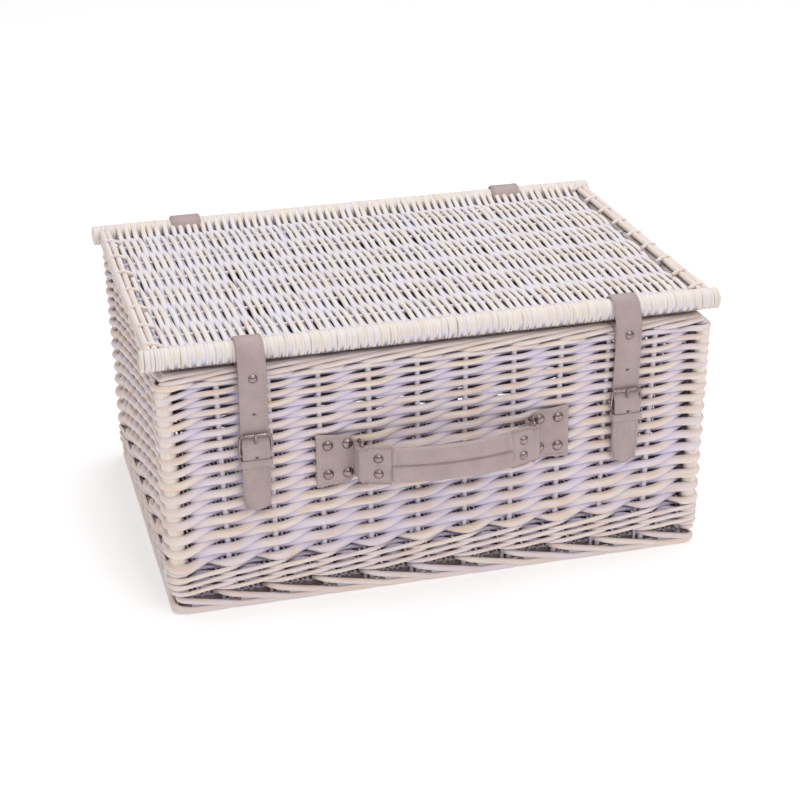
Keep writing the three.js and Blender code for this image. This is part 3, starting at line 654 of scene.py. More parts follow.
def weave_base():
    build = Build()
    low, high = mm_box("base_panel")
    middle = (low[2] + high[2]) / 2
    weaver = (high[2] - low[2]) / 4
    rows = np.linspace(low[1] + 12, high[1] - 12, BASE_STICKS)
    for y in rows:
        path = track([low[0] - 6, 0, high[0] + 6], y, middle)
        build.rod(path, BASE_STICK, Z, 6, rng.uniform(0, 1), 0.3, outward=-Z)
    count = int((high[0] - low[0]) / (2 * weaver + 0.7))
    for i, x in enumerate(np.linspace(low[0] + 2, high[0] - 2, count)):
        y = np.linspace(low[1] - 4, high[1] + 4, 56)
        phase = np.cos(math.pi * (y - rows[0]) / (rows[1] - rows[0]) + math.pi * (i % 2))
        path = track(x + 0.3 * wave(y / 40), y, middle + phase * (BASE_STICK + weaver) * 0.5)
        build.rod(path, weaver, X, 6, share(0.4, 0.3), 0.4, outward=-Z)
    place(build.mesh("base_weave", willow), "root", "willow", "base_panel")


# ---- lid ----
STICKS = len([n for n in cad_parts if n.startswith("lid_stick_")])
RAIL = (front_rail_high[2] - front_rail_low[2]) / 2
RAIL_Z = (front_rail_high[2] + front_rail_low[2]) / 2
FRONT_RAIL_Y = (front_rail_high[1] + front_rail_low[1]) / 2
REAR_RAIL_Y = (rear_rail_high[1] + rear_rail_low[1]) / 2
LID_WEAVER = 1.5  # half the thickness
RAIL_ROD = RAIL - 2 * LID_WEAVER - 0.1
LID_STICK = 1.8
LID_SWING = 1.9  # how far a weaver rises over a stick
LID_WIDE = 1.55  # a weaver's width over its thickness
LID_PITCH = 3.3
rail_rows = np.linspace(FRONT_RAIL_Y, REAR_RAIL_Y, STICKS + 2)
row_step = rail_rows[1] - rail_rows[0]


def arc(y, z, radius, start, end, steps):
    """Y and Z on an arc, angles in degrees from +Y towards +Z."""
    turn = np.radians(np.linspace(start, end, steps))
    return track(y + radius * np.cos(turn), z + radius * np.sin(turn))


def lid_path(odd):
    """Y and Z of one weaver: round the front rail, over and under the sticks, round the rear rail."""
    around = RAIL_ROD + LID_WEAVER
    over_first = not odd  # over the front rail
    over_last = ((STICKS + 1) % 2 == 0) == over_first
    first = (285, 60, 17) if over_first else (225, 320, 7)
    last = (120, -105, 17) if over_last else (220, 315, 7)
    inner = []
    for k in range(1, STICKS + 1):
        up = LID_SWING if (k % 2 == 0) == over_first else -LID_SWING
        for along, rise in ((-0.5, 0), (-0.27, 0.75), (0, 1.0), (0.27, 0.75)):
            inner.append((rail_rows[k] + along * row_step, RAIL_Z + up * rise))
    inner.append((rail_rows[STICKS] + 0.5 * row_step, RAIL_Z))
    ends = arc(rail_rows[0], RAIL_Z, around, *first), arc(rail_rows[-1], RAIL_Z, around, *last)
    control = np.concatenate([ends[0], inner, ends[1]])
    return smooth_steps(control, int(len(control) * 1.6))


def weave_lid():
    low, high = mm_box("lid_weave")
    build, wraps = Build(), Build()
    count = int((high[0] - low[0]) / LID_PITCH)
    for i, x in enumerate(np.linspace(low[0] + LID_WEAVER, high[0] - LID_WEAVER, count)):
        y, z = lid_path(i % 2 == 1).T
        drift = rng.uniform(-0.35, 0.35) + 0.5 * wave(np.linspace(0, 1, len(y)) * rng.uniform(4, 9))
        cross = 0.54 * np.sin(math.pi * (y - rail_rows[0]) / row_step) * (1 if i % 2 else -1)
        jitter = 0.175 * wave(y / rng.uniform(12, 30))
        tone = share(0.45, 0.3)
        # high where the weaver rides over a stick, worn; low where it dips under one, for painted shade
        rub_and_shade = np.clip(0.45 + 0.45 * (z - RAIL_Z) / LID_SWING, 0, 1)
        oval = circle(8) * (LID_WIDE * rng.uniform(0.9, 1.06), 1.0) * LID_WEAVER
        build.sweep(track(x + drift + cross, y, z + jitter), X, oval, tone, rub_and_shade, outward=Z)
    # the extra turns that fill both rails
    turn = np.linspace(0, 2 * math.pi, 18, endpoint=False)
    for y in (FRONT_RAIL_Y, REAR_RAIL_Y):
        x = front_rail_low[0] + LID_WEAVER + 0.2
        while x < front_rail_high[0] - LID_WEAVER:
            width = rng.uniform(0.85, 1.2) * LID_WEAVER
            lean = rng.uniform(-0.5, 0.5)
            bulge = RAIL - width - rng.uniform(0, 0.25)
            path = track(x + lean * np.cos(turn), y + bulge * np.cos(turn), RAIL_Z + bulge * np.sin(turn))
            wraps.rod(path, width, X, 7, share(0.6, 0.3), 0.75, closed=True)
            x += 1.62 * width
    place(build.mesh("lid_weavers", lid_willow), "lid", "willow", "lid_weave")
    place(wraps.mesh("rail_wraps", lid_willow), "lid", "willow", "lid_front_rail", "lid_rear_rail")


def lay_sticks():
    build = Build()
    nodes = [f"lid_stick_{k}" for k in range(1, STICKS + 1)]
    for y, node in zip(rail_rows[1:], nodes):
        low, high = mm_box(node)
        x = np.linspace(low[0] - 8, high[0] + 8, 24)
        path = track(x, y + 0.3 * wave(x / 60), RAIL_Z)
        build.rod(path, LID_STICK * rng.uniform(0.95, 1.02), Z, 10, rng.uniform(0, 0.5), 0.3, outward=Z)
    for y in (FRONT_RAIL_Y, REAR_RAIL_Y):
        x = np.linspace(front_rail_low[0] + 0.3, front_rail_high[0] - 0.3, 12)
        build.rod(track(x, y, RAIL_Z), RAIL_ROD, Z, 16, 0.6, 0.6)
    place(build.mesh("lid_sticks", pale_stick), "lid", "pale_stick", *nodes)


# each rod of a side border: how far it lies in from the edge, its height as a share, and its radius
SIDE_RODS = (
    (2.6, 0.80, 2.6), (7.6, 0.84, 2.5), (2.7, 0.46, 2.6),
    (8.0, 0.42, 2.5), (3.2, 0.16, 2.4), (8.4, 0.14, 2.3),
)
TURN_STEP = {"left": 41.0, "right": 34.0}  # between the weavers' ends that turn down over the border
TURN_ROD = 1.8


def lay_side_borders():
    for side, sign in (("left", -1), ("right", 1)):
        low, high = mm_box(f"lid_{side}_border")
        build = Build()
        inner, outer = sorted((abs(low[0]), abs(high[0])))
        y = np.linspace(low[1] - 3, high[1] + 3, 60)
        for inset, rise, radius in SIDE_RODS:
            z = low[2] + (high[2] - low[2]) * rise + 0.5 * wave(y / rng.uniform(25, 45))
            x = sign * (outer - inset + 0.4 * wave(y / rng.uniform(30, 60)))
            build.rod(track(x, y, z), radius, Z, 8, rng.uniform(0.6, 1), 0.6)
        for at in np.arange(low[1] + 4, high[1] - 4, TURN_STEP[side]):
            lean = rng.uniform(2, 5)
            x = sign * np.array([inner - 3, inner + 4, outer - 3, outer - 0.2, outer - 0.6, outer - 4])
            y_turn = at + lean * np.array([0, 0.3, 0.6, 0.9, 1, 1])
            top = high[2] - np.array([3.0, 0.2, 0.9, 5.0])
            path = smooth_steps(track(x, y_turn, [*top, low[2] + 3.5, low[2] + 1.8]), 14)
            path[:, 0] = np.clip(path[:, 0], -outer + 1.2, outer - 1.2)
            build.rod(path, TURN_ROD * rng.uniform(0.9, 1.05), Y, 7, rng.uniform(0.4, 1), 0.6)
        place(build.mesh(f"lid_{side}_rods", pale_stick), "lid", "pale_stick", f"lid_{side}_border")


weave_walls()
stand_stakes()
weave_wale()
weave_foot()
weave_top_border()
weave_base()
weave_lid()
lay_sticks()
lay_side_borders()


# ---- leather ----
def strap_section(half, thick, groove=2.2):
    """A flat strap's section, anticlockwise, with rounded edges and a shallow line where the stitches lie."""
    half = max(half, 0.25)
    r = min(0.45 * thick, half * 0.8)
    t = thick / 2
    groove = min(groove, half * 0.5)
    across = [half - r, half - groove + 0.5, half - groove, half - groove - 0.5, half * 0.35]
    dips = [0.0, 0.0, -0.22, 0.0, 0.12]
    right_top = [(a, t + dip) for a, dip in zip(across, dips)]
    left_top = [(-a, b) for a, b in right_top[::-1]]
    edge = [(half, -t + r), (half, 0), (half, t - r)]
    low = [(-half, t - r), (-half, 0), (-half, -t + r), (-half + r, -t), (half - r, -t)]
    return np.array(edge + right_top + left_top + low)


def ribbon(build, line, x, half, thick):
    """A strap along a line of Y and Z points. half is its half width at each point."""
    half = np.broadcast_to(half, (len(line),))
    sections = [strap_section(h, thick) for h in half]
    build.sweep(track(x, *np.transpose(line)), X, sections)


def stitch(build, path, normal, gap=3.3, length=2.3, radius=0.3):
    """Short raised stitches along a path on a surface."""
    normal = np.broadcast_to(normal, path.shape)
    run = run_along(path)
    for start in np.arange(gap / 2, run[-1] - length, gap):
        at = start + length * np.linspace(0, 1, 4)
        points = track(*[np.interp(at, run, values) for values in path.T])
        out = track(*[np.interp(at, run, values) for values in normal.T])
        points = points + out * np.array([0.0, 0.28, 0.28, 0.0])[:, None]
        build.rod(points, np.array([0.5, 1, 1, 0.5]) * radius, out[0], 5, 0.5, 0.5)


def stitch_roll(build, x, rail_y, radius, start, end):
    """A row of stitches where a strap goes over a rail."""
    path = track(x, *arc(rail_y, RAIL_Z, radius, start, end, 30).T)
    stitch(build, path, track(0.0, *arc(0, 0, 1, start, end, 30).T))


def add_rivet(name, body, centre, axis, radius, height, rim=0.35):
    """A rivet's head on its own: a thin seat, and a dome on it. axis points out of the leather."""
    lift = np.sin(np.array([0.25, 0.45, 0.62, 0.77, 0.9, 0.98]) * math.pi / 2)
    heights = np.concatenate([[0.0, 0.35, 0.5], 0.5 + (height - 0.5) * lift])
    radii = np.concatenate([[radius, radius + 0.02, radius - rim], (radius - rim) * np.sqrt(1 - lift**2)])
    head = Build()
    head.rod(np.asarray(centre) + np.outer(heights, axis), radii, Z, 24)
    place(head.mesh(f"{name}_dome", nickel), body, "nickel", name)


def rounded_loop(half_a, half_b, corner, steps=6):
    """A closed rounded rectangle, anticlockwise."""
    out = []
    for k, (sa, sb) in enumerate(((1, 1), (-1, 1), (-1, -1), (1, -1))):
        out.append(arc(sa * (half_a - corner), sb * (half_b - corner), corner, 90 * k, 90 * k + 90, steps))
    return np.concatenate(out)


def tongue_half(z, tip, full, length=24.0, pull=6.0, round_tip=7.0):
    """Half the strap's width at height z, closing to a rounded tip."""
    t = np.linspace(0, 1, 60)
    near, early, late = (1 - t) ** 3, 3 * (1 - t) ** 2 * t, 3 * (1 - t) * t**2
    heights = near * (tip + length) + early * (tip + pull) + late * tip + t**3 * tip
    widths = near * full + early * full + late * round_tip
    order = np.argsort(heights)
    return np.interp(z, heights[order], widths[order])


def centre_line(node, x, z_values):
    """The front face of a CAD node at x, as Y for each height, by looking at it from the front."""
    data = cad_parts[node].data
    tree = BVHTree.FromPolygons([v.co[:] for v in data.vertices], [p.vertices[:] for p in data.polygons])
    found = []
    for z in z_values:
        hit = tree.ray_cast(Vector((x * MM, -1.0, z * MM)), Vector((0, 1, 0)))
        found.append(hit[0].y / MM if hit[0] else np.nan)
    return np.array(found)


STRAP_THICK = 2.2
RETURN_THICK = 1.6
FOLD_BEND = 2.4  # radius at which a strap's end folds back under the rail
SEAM = 2.2  # from a strap's edge to its stitches
HOLE = 1.15
HOLES_AT = (46, 80)  # above the strap's tip
STRAP_RIVET, STRAP_DOME = 3.6, 2.6  # a rivet's radius and height on the closing and hinge straps


def cut(piece, cutter):
    """Subtracts a cutter from a piece, and removes the cutter."""
    change = piece.modifiers.new("cut", "BOOLEAN")
    change.operation = "DIFFERENCE"
    change.solver = "EXACT"
    change.object = cutter
    bpy.context.view_layer.update()
    shown = piece.evaluated_get(bpy.context.evaluated_depsgraph_get())
    data = bpy.data.meshes.new_from_object(shown)
    piece.modifiers.remove(change)
    piece.data = data
    bpy.data.objects.remove(cutter)


def closing_strap(side):
    low, high = mm_box(f"closing_strap_{side}")
    rivet_low, rivet_high = mm_box(f"strap_rivet_{side}")
    x = (low[0] + high[0]) / 2
    half = (high[0] - low[0]) / 2
    rivet_z = (rivet_low[2] + rivet_high[2]) / 2
    wrap = RAIL + 0.3 + STRAP_THICK / 2
    under = border_high[2] + 0.3 + RETURN_THICK / 2
    return_y = border_low[1] - 0.3 - RETURN_THICK / 2
    behind = FRONT_RAIL_Y + wrap
    # over the rail and down the front; the hanging part follows the CAD strap's front face
    top = arc(FRONT_RAIL_Y, RAIL_Z, wrap, 0, 150, 26)
    tip = low[2]
    z_hang = np.concatenate([np.linspace(rivet_z + 5, tip + 30, 44), np.linspace(tip + 28, tip + 0.3, 20)])
    face = centre_line(f"closing_strap_{side}", x + 5.0, np.maximum(z_hang, tip + 6))
    good = ~np.isnan(face)  # a hole in the CAD strap shows no face
    face = np.interp(-z_hang, -z_hang[good], face[good])
    for _ in range(2):
        face[1:-1] = (face[:-2] + face[1:-1] * 2 + face[2:]) / 4
    hang = track(face + STRAP_THICK / 2, z_hang)
    joint = [(hang[0, 0] + 0.3, rivet_z + 9.5)]
    front = np.concatenate([[(behind, under + 1.0)], top, joint, hang])
    widths = np.full(len(front), half)
    tail = front[:, 1] < low[2] + 30
    widths[tail] = tongue_half(front[tail, 1], low[2], half)
    build = Build()
    ribbon(build, front, x, widths, STRAP_THICK)
    piece = build.mesh(f"closing_strap_{side}_leather", leather)
    build = Build()
    back = np.concatenate([
        [(return_y, rivet_z - 7)], [(return_y, border_high[2] - 2)],
        arc(border_low[1], border_high[2], 0.3 + RETURN_THICK / 2, 180, 90, 6),
        arc(behind - FOLD_BEND, under + FOLD_BEND, FOLD_BEND, -90, 0, 6),
    ])
    ribbon(build, back, x, half - 0.1, RETURN_THICK)
    fold = build.mesh(f"closing_strap_{side}_fold", leather)
    cutter = Build()
    for above in HOLES_AT:
        z = low[2] + above
        y = np.interp(-z, -hang[:, 1], hang[:, 0])
        cutter.rod(track(x, [y - 6, y, y + 1.0], z), HOLE, Z, 14)
    cut(piece, cutter.mesh("hole_cutter", leather))
    seams = Build()
    reach = np.maximum(widths[-len(hang):] - SEAM, 0.0)
    sewn = hang[:, 1] > low[2] + 1.5
    for edge in (-1, 1):
        path = track(x + edge * reach, hang[:, 0] - STRAP_THICK / 2 + 0.15, hang[:, 1])[sewn]
        stitch(seams, path, -Y)
        stitch_roll(seams, x + edge * (half - SEAM), FRONT_RAIL_Y, wrap + STRAP_THICK / 2 - 0.15, 20, 160)
    threads = seams.mesh(f"closing_strap_{side}_thread", thread)
    for part in (piece, fold, threads):
        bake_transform(part)
    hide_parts(f"closing_strap_{side}")
    centre = (x, rivet_low[1] + STRAP_DOME, rivet_z)
    add_rivet(f"strap_rivet_{side}", f"strap_{side}", centre, -Y, STRAP_RIVET, STRAP_DOME)
    return x


BUCKLE_HEEL = 3.4  # from the top and front of the buckle's strap to the bar in its fold
WIRE = 1.15
KEEPER_HALF_THICK = 0.55
CHEEK_GAP = 1.9  # half the slot in the buckle strap's fold, where the prong passes


def buckle(side, x):
    """Wire frame, prong, the buckle's own strap and the keeper."""
    low, high = mm_box(f"buckle_frame_{side}")
    prong_low, _ = mm_box(f"buckle_prong_{side}")
    strap_low, strap_high = mm_box(f"buckle_strap_{side}")
    keep_low, keep_high = mm_box(f"strap_keeper_{side}")
    toe = np.array([low[1] + 1.2, high[2] - 1.5])
    heel = np.array([strap_low[1] + BUCKLE_HEEL, strap_high[2] - BUCKLE_HEEL])
    tall = np.linalg.norm(toe - heel)
    mid, up = (toe + heel) / 2, (toe - heel) / tall
    loop = rounded_loop((high[0] - low[0]) / 2 - 1.0, tall / 2, 2.2)
    build = Build()
    path = track(x + loop[:, 0], mid[0] + loop[:, 1] * up[0], mid[1] + loop[:, 1] * up[1])
    build.rod(path, WIRE, (0, -up[1], up[0]), 10, closed=True)
    bar = x + np.linspace(-9.5, 9.5, 12)
    build.rod(track(bar, toe[0] - 0.1, toe[1]), 1.5, Z, 12)
    place(build.mesh(f"buckle_{side}_frame", nickel), f"buckle_{side}", "nickel", f"buckle_frame_{side}")
    # the prong: an eye round the bar, and a pin that leans on the frame's far side
    build = Build()
    build.rod(track(x, *arc(*heel, 2.3, 120, 395, 16).T), 0.75, X, 8)
    out = prong_low[1] + 0.8
    y = [heel[0] - 1.6, heel[0] - 2.2, heel[0] - 3.2, out + 0.3, out]
    z = [heel[1] + 2.0, heel[1] + 5.0, heel[1] + 9.0, toe[1] - 2.0, toe[1] + 2.0]
    build.rod(smooth_steps(track(x, y, z), 18), np.linspace(1.15, 0.85, 18), X, 8)
    place(build.mesh(f"buckle_{side}_prong", nickel), f"prong_{side}", "nickel", f"buckle_prong_{side}")
    # the strap that holds the buckle
    build, seams = Build(), Build()
    half = (strap_high[0] - strap_low[0]) / 2
    flat_y = CY - wall_y(heel[1]) - 2.7
    face = flat_y - STRAP_THICK / 2 + 0.15
    line = [*track(flat_y, np.linspace(strap_low[2], heel[1] - 5, 10)), (flat_y + 0.3, heel[1] - 3)]
    ribbon(build, line[::-1], x, half, STRAP_THICK)
    for edge in (-1, 1):
        lane = (half - CHEEK_GAP) / 2
        cheek = x + edge * (CHEEK_GAP + lane)
        build.sweep(track(cheek, *arc(*heel, 2.75, -50, 215, 16).T), X, strap_section(lane, 1.4, 1.0))
        z = np.linspace(strap_low[2] + 2, keep_low[2] - 2, 8)
        stitch(seams, track(x + edge * (half - SEAM), face, z), -Y)
    stitch(seams, track(x + np.linspace(3 - half, half - 3, 8), face, strap_low[2] + SEAM), -Y)
    place(build.mesh(f"buckle_strap_{side}_leather", leather), "root", "leather", f"buckle_strap_{side}")
    place(seams.mesh(f"buckle_strap_{side}_thread", thread), "root", "leather")
    # the keeper's band
    build = Build()
    half_x, half_y, tall = (keep_high - keep_low) / 2
    band = rounded_loop(half_x - KEEPER_HALF_THICK, half_y - KEEPER_HALF_THICK, 1.8)
    _, mid_y, mid_z = (keep_low + keep_high) / 2
    path = track(x + band[:, 0], mid_y + band[:, 1], mid_z)
    outer_side = [(tall, -0.2), (tall, 0.2), (tall - 0.3, 0.5), (0, 0.6), (-tall + 0.3, 0.5)]
    inner_side = [(-tall, 0.2), (-tall, -0.2), (-tall + 0.3, -0.5), (tall - 0.3, -0.5)]
    build.sweep(path, Z, outer_side + inner_side, closed=True)
    place(build.mesh(f"keeper_{side}_band", leather), "root", "leather", f"strap_keeper_{side}")


HINGE_THICK = 2.0
HINGE_SEAM = 2.4


def hinge(side):
    low, high = mm_box(f"hinge_strap_{side}")
    rivet_low, rivet_high = mm_box(f"hinge_rivet_{side}")
    x, half = (low[0] + high[0]) / 2, (high[0] - low[0]) / 2
    wrap = RAIL + 0.3 + HINGE_THICK / 2
    inner = border_high[1] + 0.3 + RETURN_THICK / 2
    outer = inner + RETURN_THICK / 2 + 0.3 + HINGE_THICK / 2
    under = border_high[2] + 0.3 + RETURN_THICK / 2
    over = np.concatenate([
        [(REAR_RAIL_Y - wrap, under + 1)],
        arc(REAR_RAIL_Y, RAIL_Z, wrap, 180, 20, 28),
        track(outer, np.linspace(border_high[2] + 5, low[2], 20)),
    ])
    back = np.concatenate([
        track(inner, np.linspace(low[2], border_high[2] - 1, 8)),
        arc(border_high[1], border_high[2], 0.3 + RETURN_THICK / 2, 0, 90, 6),
        arc(REAR_RAIL_Y - wrap + FOLD_BEND, under + FOLD_BEND, FOLD_BEND, 270, 180, 6),
    ])
    build, seams = Build(), Build()
    ribbon(build, over[::-1], x, half, HINGE_THICK)  # swept upwards, so that the grooved side faces outwards
    ribbon(build, back, x, half - 0.1, RETURN_THICK)
    piece = build.mesh(f"hinge_{side}_leather", leather)
    above = HINGE_THICK / 2 - 0.1
    for lane in (x - half + HINGE_SEAM, x + half - HINGE_SEAM):
        stitch_roll(seams, lane, REAR_RAIL_Y, wrap + above, 165, 20)
        stitch(seams, track(lane, outer + above, np.linspace(border_high[2] + 3, low[2] + 2, 8)), Y)
    threads = seams.mesh(f"hinge_{side}_thread", thread)
    for part in (piece, threads):
        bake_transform(part)
    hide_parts(f"hinge_strap_{side}")
    centre = (x, rivet_high[1] - STRAP_DOME, (rivet_low[2] + rivet_high[2]) / 2)
    add_rivet(f"hinge_rivet_{side}", "root", centre, Y, STRAP_RIVET, STRAP_DOME)


# ---- handle ----
grip_low, grip_high = mm_box("handle_grip")
HANDLE_Z = (grip_low[2] + grip_high[2]) / 2
ARCH = 192.0
ARCH_Y = grip_low[1] + 4.5 + ARCH
GRIP_END = grip_high[0]
FOLD_HALF = 14.8  # half the width of the leather in a ring
TAB_RIVET_X = 57.5


def on_arch(x, out=0.0):
    """Points on the handle's arch at x, out from it, with the outward normals."""
    turn = np.arcsin(np.asarray(x, float) / ARCH)
    normal = track(np.sin(turn), -np.cos(turn), 0.0)
    return np.array([0, ARCH_Y, HANDLE_Z]) + normal * (ARCH + out), normal


def stitch_arch(build, x, out, rise, *sizes):
    """A row of stitches on the handle; rise is its height above the middle."""
    line, normal = on_arch(x, out)
    line[:, 2] += rise
    stitch(build, line, normal, *sizes)


def handle():
    strap_low, strap_high = mm_box("handle_strap")
    ring_low, ring_high = mm_box("handle_ring_right")
    ring_x = (ring_low[0] + ring_high[0]) / 2
    build, seams = Build(), Build()
    tab_half = (strap_high[2] - strap_low[2]) / 2
    for sign in (-1, 1):
        # the tab, which thickens to go round the ring's outer bar
        fold = [-6, -5, -4, -3, -2, -1, 0, 1, 2, 2.6, 3.1, 3.5, 3.7]
        reach = np.concatenate([np.linspace(GRIP_END - 4.0, ring_x - 7, 12), ring_x + np.array(fold)])
        thick = 4.2 + 3.0 * fade(reach, ring_x - 7, 6) ** 1.5
        round_end = 2 * np.sqrt(np.clip(3.75**2 - (reach - ring_x) ** 2, 0.05, 13))
        thick = np.where(reach > ring_x, round_end, thick)
        tall = tab_half - (tab_half - FOLD_HALF) * fade(reach, ring_x - 7, 4)
        tall = tall - 2.0 * np.clip(GRIP_END + 0.6 - reach, 0, 1)
        sections = np.array([strap_section(h, t) for h, t in zip(tall, thick)])
        build.sweep(on_arch(sign * reach)[0][::sign], Z, sections[::sign])
        for edge in (-1, 1):
            x = sign * np.linspace(GRIP_END + 1.5, ring_x - 3.5, 10)
            stitch_arch(seams, x, 2.1, edge * (tab_half * 0.97 - SEAM))
        rise = np.linspace(4 - tab_half, tab_half - 4, 10)
        stitch_arch(seams, np.full(10, sign * (ring_x - 4.2)), 2.1, rise)
    place(build.mesh("handle_strap_leather", leather), "handle", "leather", "handle_strap")
    # the padded grip: its edges meet in a crease along the front, and the lower one stands proud
    half = (grip_high[2] - grip_low[2]) / 2
    x = np.linspace(-GRIP_END, GRIP_END, 60)
    upper = [(1.0, 0.0), (0.95, 2.0), (0.75, 3.0), (0.4, 3.3), (0.14, 3.0), (0.05, 2.1), (0.0, 1.8)]
    lower = [(-0.05, 3.4), (-0.16, 4.3), (-0.45, 4.6), (-0.78, 3.7), (-0.95, 2.0), (-1.0, 0.0)]
    behind = [(-0.93, -2.4), (-0.6, -3.6), (0.0, -3.9), (0.6, -3.6), (0.93, -2.4)]
    section = smooth_steps(upper + lower + behind + upper[:1], 61)[:-1] * (half, 1.0)
    to_end = GRIP_END - abs(x)
    seam = 1 - 0.07 * np.exp(-(((to_end - 5.0) / 0.8) ** 2))
    pinch = (0.86 + 0.14 * np.sqrt(np.clip(to_end / 3.0, 0, 1))) * seam
    wrinkle = 1 + 0.012 * np.sin(x / 3.1) * np.sin(x / 7.7)
    build = Build()
    build.sweep(on_arch(x, 0.5)[0], Z, section * track(np.sqrt(pinch), pinch * wrinkle)[:, None])
    piece = place(build.mesh("grip_leather", leather), "handle", "leather", "handle_grip")
    for sign in (-1, 1):
        rise = np.linspace(2.5 - half, half - 2.5, 14)
        stitch_arch(seams, np.full(14, sign * (GRIP_END - 5.0)), 4.2, rise, 2.8, 1.9, 0.3)
    place(seams.mesh("handle_thread", thread), "handle", "leather")
    for k in range(1, 5):
        low, high = mm_box(f"tab_rivet_{k}")
        point, normal = on_arch([math.copysign(TAB_RIVET_X, low[0] + high[0])], 2.25)
        centre = (point[0][0], point[0][1], (low[2] + high[2]) / 2)
        add_rivet(f"tab_rivet_{k}", "handle", centre, normal[0], 3.7, 2.4)


PLATE_INNER = 71.2  # X of the plate's edge beside the ring
PLATE_THICK = 2.4
PLATE_SEAM = 2.6
PLATE_DOME = 2.7  # a plate rivet's height
RING_FOLD = 2.9  # radius of the leather round the ring's inner bar
RING_BAR = 3.8  # how far that bar lies behind the plate's front
RING_WIRE = 1.2


def handle_plate(side, sign):
    low, high = mm_box(f"handle_plate_{side}")
    ring_low, ring_high = mm_box(f"handle_ring_{side}")
    inner, outer = PLATE_INNER, max(abs(low[0]), abs(high[0]))
    ring_x = (ring_low[0] + ring_high[0]) / 2
    half_z = (high[2] - low[2]) / 2
    y = CY - wall_y(HANDLE_Z + half_z) - 0.3 - PLATE_THICK / 2
    # the plate runs in to the ring, narrows there, and is folded round its inner bar
    flat_x = np.concatenate([[outer, outer - 0.2, outer - 0.7], np.linspace(outer - 2, inner + 4, 12)])
    taper = 1 - 0.14 * (outer - flat_x) / (outer - inner)
    worn = np.concatenate([[1, 0.4, 0.1], np.zeros(12)])  # the plate's corners are rounded off
    neck = [(inner + 2.6, y), (inner + 1.4, y - 0.4)]
    fold = arc(abs(ring_x), low[1] + RING_BAR, RING_FOLD, 55, -250, 20)
    line = np.concatenate([track(flat_x, y), neck, fold])
    flat_half = half_z * taper - 0.25 * worn
    halves = np.concatenate([flat_half, [half_z * 0.8, half_z * 0.7], np.full(20, FOLD_HALF)])
    edge_thick = PLATE_THICK * np.concatenate([[0.6, 0.9], np.ones(13)])
    thicks = np.concatenate([edge_thick, [2.2, 2.0], np.full(20, 1.7)])
    sections = np.array([strap_section(h, t, PLATE_SEAM) for h, t in zip(halves, thicks)])
    path = track(sign * line[:, 0], line[:, 1], HANDLE_Z)
    build, seams = Build(), Build()
    # swept from left to right, so that the grooved side faces the front
    build.sweep(path[::-sign], Z, sections[::-sign])
    place(build.mesh(f"handle_plate_{side}_leather", leather), "root", "leather", f"handle_plate_{side}")
    face = y - PLATE_THICK / 2 + 0.12
    for edge in (-1, 1):
        z = edge * (half_z * np.linspace(0.86, 1.0, 10) - PLATE_SEAM)
        x = sign * np.linspace(inner + PLATE_SEAM, outer - PLATE_SEAM, 10)
        stitch(seams, track(x, face, HANDLE_Z + z), -Y)
    for x, tall in ((inner + PLATE_SEAM, 0.87 * half_z), (outer - PLATE_SEAM, half_z)):
        z = np.linspace(PLATE_SEAM - tall, tall - PLATE_SEAM, 10)
        stitch(seams, track(sign * x, face, HANDLE_Z + z), -Y)
    place(seams.mesh(f"handle_plate_{side}_thread", thread), "root", "leather")
    for k in range(1, 5):
        rivet_low, rivet_high = mm_box(f"plate_rivet_{side}_{k}")
        x, _, z = (rivet_low + rivet_high) / 2
        add_rivet(f"plate_rivet_{side}_{k}", "root", (x, y - PLATE_THICK / 2, z), -Y, 4.3, PLATE_DOME)
    # the wire ring
    build = Build()
    _, half_y, half = (ring_high - ring_low) / 2 - RING_WIRE
    loop = rounded_loop(half_y, half, 2.4)
    path = track(ring_x, (ring_high[1] + ring_low[1]) / 2 + loop[:, 0], HANDLE_Z + loop[:, 1])
    build.rod(path, RING_WIRE, X, 10, closed=True)
    place(build.mesh(f"ring_{side}_wire", nickel), f"ring_{side}", "nickel", f"handle_ring_{side}")


for side, sign in (("left", -1), ("right", 1)):
    buckle(side, closing_strap(side))
    hinge(side)
    handle_plate(side, sign)
handle()


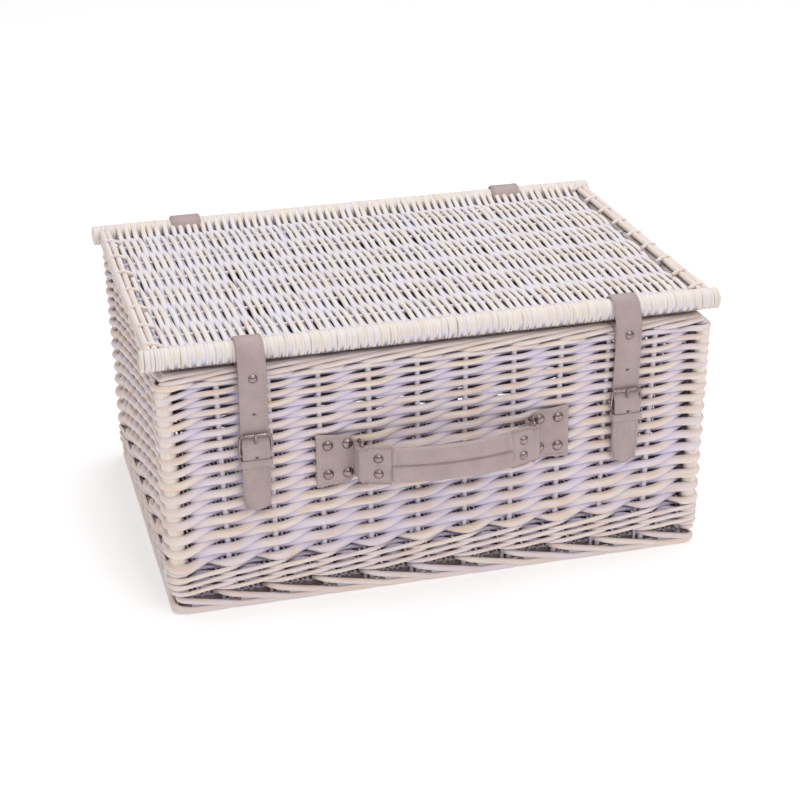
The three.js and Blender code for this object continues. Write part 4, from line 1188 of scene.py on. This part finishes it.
# ---- floor, light and camera ----
def studio():
    bpy.context.scene.view_settings.view_transform = "Standard"
    bpy.ops.mesh.primitive_plane_add(size=8.0)
    floor = bpy.context.object
    floor.name = "floor"
    floor.data.materials.append(floor_material())
    world = bpy.data.worlds.new("studio")
    bpy.context.scene.world = world
    world.use_nodes = True
    tree = world.node_tree
    shown = tree.nodes["Background"]  # what the camera sees
    shown.inputs["Color"].default_value = (1.0, 1.0, 1.0, 1.0)
    dome_light = tree.nodes.new("ShaderNodeBackground")  # what lights the hamper: bright above, dim below
    sky = tree.nodes.new("ShaderNodeTexCoord")
    parts = tree.nodes.new("ShaderNodeSeparateXYZ")
    grade = tree.nodes.new("ShaderNodeMapRange")
    for key, value in (("From Min", -0.3), ("From Max", 0.9), ("To Min", 0.1), ("To Max", 1.12)):
        grade.inputs[key].default_value = value
    tree.links.new(sky.outputs["Generated"], parts.inputs[0])
    tree.links.new(parts.outputs["Z"], grade.inputs["Value"])
    tree.links.new(grade.outputs["Result"], dome_light.inputs["Strength"])
    light_path = tree.nodes.new("ShaderNodeLightPath")
    either = tree.nodes.new("ShaderNodeMixShader")
    tree.links.new(light_path.outputs["Is Camera Ray"], either.inputs[0])
    tree.links.new(dome_light.outputs[0], either.inputs[1])
    tree.links.new(shown.outputs[0], either.inputs[2])
    tree.links.new(either.outputs[0], tree.nodes["World Output"].inputs["Surface"])
    for name, place_at, size, power in (
        ("key", (0.3, -1.8, 1.7), 1.1, 9.5),
        ("fill", (1.7, -0.4, 1.0), 1.4, 0.8),
        ("top", (0.2, 0.2, 2.3), 1.4, 16.0),
    ):
        light = bpy.data.lights.new(name, "AREA")
        light.size = size
        light.energy = power
        made = bpy.data.objects.new(name, light)
        made.location = place_at
        made.rotation_euler = (Vector((0, 0, 0.1)) - Vector(place_at)).to_track_quat("-Z", "Y").to_euler()
        bpy.context.scene.collection.objects.link(made)


CAMERA_DISTANCE = 1.62


def camera():
    data = bpy.data.cameras.new("view")
    data.lens, data.sensor_width = 84.7, 36.0
    made = bpy.data.objects.new("view", data)
    azimuth, elevation, roll = math.radians(-14.66), math.radians(23.80), math.radians(-0.86)
    target = Vector((0.0066, CY * MM, 0.0905))
    level = math.cos(elevation)
    back = Vector((math.sin(azimuth) * level, -math.cos(azimuth) * level, math.sin(elevation)))
    made.location = target + back * CAMERA_DISTANCE
    turn = (-back).to_track_quat("-Z", "Y").to_matrix().to_4x4()
    made.rotation_euler = (turn @ Matrix.Rotation(roll, 4, "Z")).to_euler()
    bpy.context.scene.collection.objects.link(made)
    bpy.context.scene.camera = made


studio()
camera()
